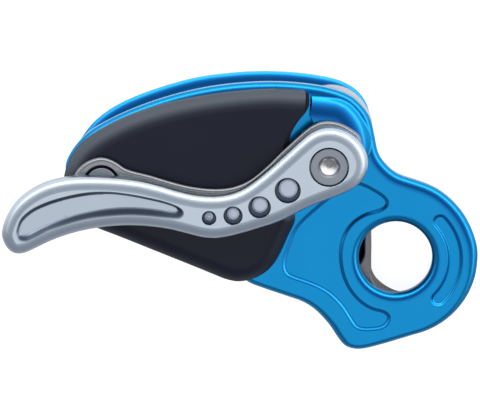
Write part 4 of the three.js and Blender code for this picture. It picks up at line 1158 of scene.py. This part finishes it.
def make_grip():
    shell = Shell()
    pocket = circle((0, 0), BOLT_POCKET_RADIUS)[::-1]
    bore = circle((0, 0), AXLE_BORE, BORE_STEPS)[::-1]
    under = rounded(GRIP_UNDER_ROUND, GRIP_LOW, 1, SMALL_ROUND_STEPS)
    foot, crest = shell.sweep(GRIP, under + [(0, GRIP_TOP - GRIP_ROLL_DROP)])
    floor_outer, pocket_crest = shell.sweep(pocket, [(0, AXLE_TOP), (0, GRIP_TOP)])
    bore_foot, bore_crest = shell.sweep(bore, [(0, GRIP_LOW), (0, AXLE_TOP)])
    stud = circle(EYE_CENTRE, STUD_PIN_RADIUS + BORE_GAP, PIN_BORE_STEPS)[::-1]
    stud_foot, stud_top = shell.sweep(stud, [(0, GRIP_LOW), (0, STUD_TOP + 2 * BORE_GAP)])
    shell.cap([floor_outer, bore_crest], True)
    shell.cap([stud_top[::-1]], False)
    shell.cap([foot, bore_foot, stud_foot], False)

    edge = loop_field(GRIP)
    dish_outer, dish_inner = loop_field(DISH_OUTER), loop_field(DISH_INNER)
    scoop = between(dish_outer, dish_inner)

    def dish_painted_shade(points):
        """Painted shade: dark on the dish's walls, the more so the wider they are, and a little darker on
        its floor.
        """
        share, slopes = scoop(points)
        width = np.maximum(dish_outer(points)[0], 0) + np.maximum(-dish_inner(points)[0], 0)
        wall = np.clip(DISH_PAINTED_SHADE_GAIN * share * (1 - share), 0, 1)
        wall *= np.clip(width / DISH_DARK_WIDTH, DISH_LEAST_PAINTED_SHADE, 1)
        return np.maximum(wall, DISH_FLOOR_PAINTED_SHADE * share), slopes

    bolt_field = outside(circle_field((0, 0), BOLT_POCKET_RADIUS))
    light_and_shade_marks = [(dish_painted_shade, straight)]
    features = [
        (-GRIP_ROLL_DROP, [(edge, edge_fall(GRIP_ROLL_WIDTH, GRIP_ROLL_LEAN))]),
        (-DISH_DEPTH, [(scoop, straight)]),
        (-BOLT_POCKET_CHAMFER, [(bolt_field, edge_fall(BOLT_POCKET_CHAMFER))]),
    ]
    lines = [
        (GRIP, distances(GRIP_ROLL_WIDTH - GRIP_CREASE, GRIP_ROLL_STEPS)),
        (GRIP, [GRIP_ROLL_WIDTH + GRIP_CREASE]),
        (DISH_OUTER, DISH_OUTER_LINES),
        (DISH_INNER, [0]),
        (DISH_INNER[::-1], DISH_INNER_LINES),
        (pocket, distances(BOLT_POCKET_CHAMFER, BOLT_POCKET_STEPS)),
    ]
    for ring_px, ring_radius, _, _ in BUTTONS_PX:
        centre, radius = on_level(ring_px, GRIP_TOP), ring_radius / PIXELS_PER_MM
        button_field = circle_field(centre, radius)
        features.append((-BUTTON_POCKET_DEPTH, [(button_field, ramp(BUTTON_WALL))]))
        # Painted shade: the floor of each round pocket takes the grip's dark second colour
        light_and_shade_marks.append((button_field, ramp(BUTTON_WALL)))
        lines.append(shares_of(circle(centre, radius, BUTTON_POCKET_STEPS), BUTTON_WALL, WALL_SHARES))
    shell.relief([crest, pocket_crest], GRIP_TOP, features, lines, GRIP_FILL_STEP, light_and_shade_marks)
    shell.object("lever_grip_fine", "satin_alloy", "lever", "lever_grip")


def make_buttons():
    """Low domed buttons on the floors of the grip's round pockets."""
    top = GRIP_TOP - BUTTON_SUNK
    rim = top - BUTTON_CROWN
    for number, (_, _, disc_px, disc_radius) in enumerate(BUTTONS_PX, 1):
        shell = Shell()
        width = disc_radius / PIXELS_PER_MM + BUTTON_FOOT
        profile = [(width, GRIP_TOP - BUTTON_POCKET_DEPTH)]
        profile += turned_edge(width, BUTTON_ROUND, rim, ROUND_STEPS)
        rim_radius = profile[-1][0]
        profile += [(rim_radius * share, top - BUTTON_CROWN * share**2) for share in CROWN_SHARES]
        shell.close(*lathe(shell, on_level(disc_px, top), profile, steps=BUTTON_STEPS))
        shell.object(f"button_{number}", "button_alloy", "lever", "lever_grip")


def make_arm():
    shell = Shell()
    eye = circle(EYE_CENTRE, EYE_HOLE_RADIUS)[::-1]
    hub = hexagon(ARM_HUB_RADIUS)[::-1]
    under = rounded(ARM_UNDER_ROUND, ARM_LOW, 1, ARM_UNDER_STEPS)
    eye_edge = rounded(EYE_ROUND, ARM_TOP, -1, SMALL_ROUND_STEPS)
    foot, crest = shell.sweep(ARM, under + rounded(ARM_ROUND, ARM_TOP, -1))
    eye_foot, eye_crest = shell.sweep(eye, [(0, ARM_LOW)] + eye_edge)
    hub_foot, hub_crest = shell.sweep(hub, [(0, ARM_LOW), (0, ARM_TOP)])
    shell.cap([foot, eye_foot, hub_foot], False)
    shell.cap([crest, eye_crest, hub_crest], True)
    shell.object("lever_arm_fine", "arm_steel", "lever", "lever_arm")


def make_stud():
    shell = Shell()
    profile = [(STUD_RADIUS, ARM_LOW)] + turned_edge(STUD_RADIUS, STUD_ROUND, ARM_TOP)
    profile += [(STUD_PIN_RADIUS, ARM_TOP), (STUD_PIN_RADIUS, STUD_TOP)]
    shell.close(*lathe(shell, EYE_CENTRE, profile))
    shell.object("eye_stud_fine", "stud_steel", "lever", "eye_stud")


def make_bolt():
    """Socket cap screw: a countersunk hexagonal key with a drilled floor."""
    shell = Shell()
    head_low = WASHER_TOP + 2 * BORE_GAP
    profile = [(SHANK_RADIUS, BOLT_LOW), (SHANK_RADIUS, head_low), (HEAD_RADIUS - HEAD_CHAMFER, head_low)]
    profile += [(HEAD_RADIUS, head_low + HEAD_CHAMFER)] + turned_edge(HEAD_RADIUS, HEAD_ROUND, BOLT_TOP)
    foot, crest = lathe(shell, (0, 0), profile)
    shell.cap([foot], False)

    key = hexagon(KEY_RADIUS)[::-1]
    count = len(key)
    cone_turn = math.radians(KEY_CONE_DEGREES)
    cone_radius = KEY_RADIUS * KEY_CONE_SHARE * math.cos(math.pi / 6)
    cone_depth = (cone_radius - KEY_TIP_RADIUS) * math.tan(cone_turn)
    floor = BOLT_TOP - KEY_DEPTH
    sink = circle((0, 0), KEY_RADIUS + KEY_SINK, count)[::-1]
    sink_ring = shell.ring(sink, BOLT_TOP)
    key_ring, key_floor = shell.ring(key, BOLT_TOP - KEY_SINK_DEPTH), shell.ring(key, floor)
    drill = shell.ring(circle((0, 0), cone_radius, count)[::-1], floor)
    tip = shell.ring(circle((0, 0), KEY_TIP_RADIUS, count)[::-1], floor - cone_depth)
    shell.cap([crest, sink_ring], True)

    radial, flats = -left_normals(sink), left_normals(key)
    sink_normals = [(*(r * KEY_SINK_LEAN), KEY_SINK_LEAN) for r in radial]
    cone_normals = [(*(r * math.sin(cone_turn)), math.cos(cone_turn)) for r in radial]
    for i in range(count):
        j = (i + 1) % count
        middle = -(flats[i] + flats[j])
        wall = (*(middle / np.linalg.norm(middle)), 0)
        shell.face((key_ring[i], key_ring[j], sink_ring[j], sink_ring[i]), to_and_back(sink_normals, i, j))
        shell.face((key_floor[i], key_floor[j], key_ring[j], key_ring[i]), [wall] * 4)
        shell.face((drill[i], drill[j], key_floor[j], key_floor[i]), [(0, 0, 1)] * 4)
        shell.face((tip[i], tip[j], drill[j], drill[i]), to_and_back(cone_normals, i, j))
    shell.cap([tip[::-1]], True)
    # Painted light: the drilled floor and its cone take a paler steel than the head
    shell.light_and_shade_marks.update((int(index), 1) for index in np.concatenate((drill, tip)))
    shell.object("pivot_bolt_fine", "bolt_steel", "frame", "pivot_bolt")


def make_axle():
    shell = Shell()
    radius, low, high = AXLE_HEAD_RADIUS, AXLE_LOW, AXLE_TOP
    head_top = levels_of("plate_bush")[0] - 2 * BORE_GAP
    profile = [(radius * AXLE_DIMPLE_SHARE, low + AXLE_DIMPLE), (radius * AXLE_DIMPLE_RIM_SHARE, low)]
    profile += [(radius * AXLE_FACE_SHARE, low), (radius, low + AXLE_HEAD_EDGE)]
    profile += [(radius, head_top - AXLE_RIM), (radius - AXLE_RIM, head_top), (AXLE_RADIUS, head_top)]
    profile += [(AXLE_RADIUS, high - AXLE_TIP_CHAMFER), (AXLE_RADIUS - AXLE_TIP_CHAMFER, high)]
    foot, crest = lathe(shell, (0, 0), profile)
    shell.cap([foot], False)
    bore = circle((0, 0), SHANK_RADIUS + BORE_GAP, BORE_STEPS)[::-1]
    bore_foot, bore_crest = shell.sweep(bore, [(0, BOLT_LOW - 2 * BORE_GAP), (0, high)])
    shell.cap([bore_foot[::-1]], True)
    shell.cap([crest, bore_crest], True)
    shell.object("main_axle_fine", "grey_steel", "frame", "main_axle")


def make_cam():
    shell = Shell()
    middle, half = (CAM_LOW + CAM_TOP) / 2, (CAM_TOP - CAM_LOW) / 2
    profile = rounded(CAM_ROUND, CAM_LOW, 1)
    for share in np.linspace(-1, 1, CAM_GROOVE_STEPS):
        profile.append((CAM_GROOVE_DEPTH * (1 - share**2), middle + half * CAM_GROOVE_SHARE * share))
    profile += rounded(CAM_ROUND, CAM_TOP, -1)
    foot, crest = shell.sweep(smooth_loop(CAM_OUTLINE, CAM_SOFTEN), profile)
    bore = circle((0, 0), CAM_BORE, BORE_STEPS)[::-1]
    bore_foot, bore_crest = shell.sweep(bore, [(0, CAM_LOW), (0, CAM_TOP)])
    shell.cap([foot, bore_foot], False)
    shell.cap([crest, bore_crest], True)
    shell.object("cam_fine", "polished_steel", "cam_group", "cam")


def make_between_plates(replaces, finish, outline, holes, screws):
    """A slab between the plates with pockets in its front. Its screws are sunk in its back."""
    shell = Shell()
    edge = rounded(BLOCK_ROUND, BLOCK_TOP, -1)
    foot, crest = shell.sweep(outline, rounded(BLOCK_FOOT_ROUND, BLOCK_LOW, 1, BLOCK_FOOT_STEPS) + edge)
    lows, highs = [foot], [crest]
    for hole in holes:
        hole_foot, hole_crest = shell.sweep(hole[::-1], [(0, BLOCK_LOW + BLOCK_FLOOR)] + edge)
        shell.cap([hole_foot[::-1]], True)
        # Painted shade: the pocket's floor and the foot of its walls take a near-black second colour
        shell.light_and_shade_marks.update((int(index), 1) for index in hole_foot)
        highs.append(hole_crest)
    lows += [counterbore(shell, place, BLOCK_LOW) for place in screws]
    shell.cap(lows, False)
    shell.cap(highs, True)
    shell.object(replaces + "_fine", finish, "frame", replaces)


def make_screw(name, place):
    """A low cap screw whose head looks down, with a hexagonal key."""
    low, high = levels_of(name)
    head_top = low + SCREW_HEAD_HEIGHT
    profile = [(SCREW_HEAD_RADIUS - SCREW_HEAD_CHAMFER, low), (SCREW_HEAD_RADIUS, low + SCREW_HEAD_CHAMFER)]
    profile += [(SCREW_HEAD_RADIUS, head_top), (SCREW_RADIUS, head_top)]
    profile += [(SCREW_RADIUS, high - SCREW_TIP_CHAMFER), (SCREW_RADIUS - SCREW_TIP_CHAMFER, high)]
    shell = Shell()
    foot, crest = lathe(shell, place, profile, steps=SCREW_STEPS)
    key = hexagon(SCREW_KEY_RADIUS, SCREW_KEY_SIDE_STEPS)[::-1] + np.array(place)
    key_foot, key_top = shell.sweep(key, [(0, low), (0, low + SCREW_KEY_DEPTH)])
    shell.cap([key_top[::-1]], False)
    shell.cap([foot, key_foot], False)
    shell.cap([crest], True)
    shell.object(name + "_fine", "grey_steel", "frame", name)


def make_ring(name, finish, body, inner):
    """A washer or bush with its edges broken."""
    low, high = node_box(name)
    outer, edge, foot, top = (high[0] - low[0]) / 2, RING_CHAMFER, low[2], high[2]
    profile = [(outer - edge, foot), (outer, foot + edge), (outer, top - edge), (outer - edge, top)]
    profile += [(inner + edge, top), (inner, top - edge), (inner, foot + edge), (inner + edge, foot)]
    shell = Shell()
    lathe(shell, (0, 0), profile, True)
    shell.object(name + "_fine", finish, body, name)


def make_post():
    shell = Shell()
    low, high = BLOCK_LOW, BLOCK_TOP
    waist_low, waist_length = low + POST_CHAMFER, high - low - 2 * POST_CHAMFER
    profile = [(POST_RADIUS - POST_CHAMFER, low), (POST_RADIUS, waist_low)]
    for share in np.linspace(*POST_WAIST_SHARES, POST_WAIST_STEPS):
        radius = POST_RADIUS - POST_WAIST * math.sin(math.pi * share)
        profile.append((radius, waist_low + waist_length * share))
    profile += [(POST_RADIUS, high - POST_CHAMFER), (POST_RADIUS - POST_CHAMFER, high)]
    foot, crest = lathe(shell, POST, profile)
    shell.cap([foot, counterbore(shell, POST, low)], False)
    shell.cap([crest], True)
    shell.object("rope_post_fine", "grey_steel", "frame", "rope_post")


# Light and floor
def make_studio():
    """A dim sky with a bright patch overhead and bright bands at the upper right, white to the camera."""
    world = bpy.data.worlds.new("studio")
    bpy.context.scene.world = world
    world.use_nodes = True
    world.node_tree.nodes.clear()
    graph = Graph(world.node_tree)
    direction = graph.add("TexCoord", "Generated")
    height = graph.towards(direction, (0, 0, 1))
    overhead = graph.towards(direction, OVERHEAD_TOWARDS)
    glows = [graph.soft_step(overhead, *np.cos(np.radians(OVERHEAD_DEGREES)))]
    round_about = graph.soft_step(graph.towards(direction, BAND_TOWARDS), *BAND_REACH)
    for limits in ((BAND_LOW_DEGREES, BAND_HIGH_DEGREES), (CORE_LOW_DEGREES, CORE_HIGH_DEGREES)):
        band = round_about
        for pair in limits:
            band = graph.calculate("MULTIPLY", band, graph.soft_step(height, *np.sin(np.radians(pair))))
        glows.append(band)
    level = 0
    for glow, strength in zip(glows, (OVERHEAD_STRENGTH, BAND_STRENGTH, CORE_STRENGTH)):
        level = graph.calculate("ADD", level, graph.calculate("MULTIPLY", glow, strength))
    lamps = graph.add("Background", "Background", {"Color": WHITE, "Strength": level})
    sky = graph.add("Background", "Background", {"Color": opaque(SKY_COLOUR), "Strength": SKY_STRENGTH})
    white = graph.add("Background", "Background", {"Color": WHITE})
    light = graph.add("AddShader", "Shader", {0: lamps, 1: sky})
    seen = graph.add("LightPath", "Is Camera Ray")
    output = graph.nodes.new("ShaderNodeOutputWorld")
    graph.feed(output.inputs["Surface"], graph.add("MixShader", "Shader", {0: seen, 1: light, 2: white}))


def make_floor():
    """A grey floor that is white to the camera and keeps the object's shadow."""
    mesh = bpy.data.meshes.new("floor")
    corners = [(x * FLOOR_REACH, y * FLOOR_REACH) for x, y in ((-1, -1), (1, -1), (1, 1), (-1, 1))]
    mesh.from_pydata([(x * MM, y * MM, FLOOR_LEVEL * MM) for x, y in corners], [], [(0, 1, 2, 3)])
    floor = bpy.data.objects.new("floor", mesh)
    bpy.context.scene.collection.objects.link(floor)
    material, graph, inputs = new_material("pale_floor")
    inputs["Base Color"].default_value = (FLOOR_ALBEDO, FLOOR_ALBEDO, FLOOR_ALBEDO, 1)
    inputs["Roughness"].default_value = FLOOR_ROUGHNESS
    inputs["Emission Color"].default_value = WHITE
    seen = graph.calculate("MULTIPLY", graph.add("LightPath", "Is Camera Ray"), FLOOR_GLOW)
    # To reflections the floor also glows, dim towards -Y and bright towards +Y: painted light and shade for
    # the metal to mirror
    place = graph.add("SeparateXYZ", "Y", {"Vector": graph.add("NewGeometry", "Position")})
    far = graph.soft_step(place, *(y * MM for y in FLOOR_BLEND))
    glow = graph.spread(far, FLOOR_NEAR_GLOW, FLOOR_FAR_GLOW)
    mirrored = graph.calculate("MULTIPLY", graph.add("LightPath", "Is Glossy Ray"), glow)
    graph.feed(inputs["Emission Strength"], graph.calculate("ADD", seen, mirrored))
    mesh.materials.append(material)


bpy.context.scene.view_settings.view_transform = "Standard"
make_camera()
make_studio()
make_floor()
dress_solids()
make_front_plate()
make_rear_plate()
make_cover()
make_grip()
make_buttons()
make_arm()
make_stud()
make_bolt()
make_axle()
make_cam()
block, window = smooth_loop(BLOCK, BLOCK_SOFTEN), smooth_loop(BLOCK_WINDOW, WINDOW_SOFTEN)
make_between_plates("friction_block", "block_steel", block, [window], BLOCK_SCREWS)
make_between_plates("rope_guide", "guide_plastic", smooth_loop(GUIDE, GUIDE_SOFTEN), [], GUIDE_SCREWS)
make_post()
for group, places in SCREWS.items():
    for number, place in enumerate(places, 1):
        make_screw(f"{group}_{number}", place)
make_screw("post_screw", POST)
make_ring("bolt_washer", "grey_steel", "frame", SHANK_RADIUS + BORE_GAP)
for washer in ("rear_washer", "front_washer"):
    make_ring(washer, "grey_steel", "frame", AXLE_BORE)
make_ring("plate_bush", "bush_bronze", "side_plate", AXLE_BORE)
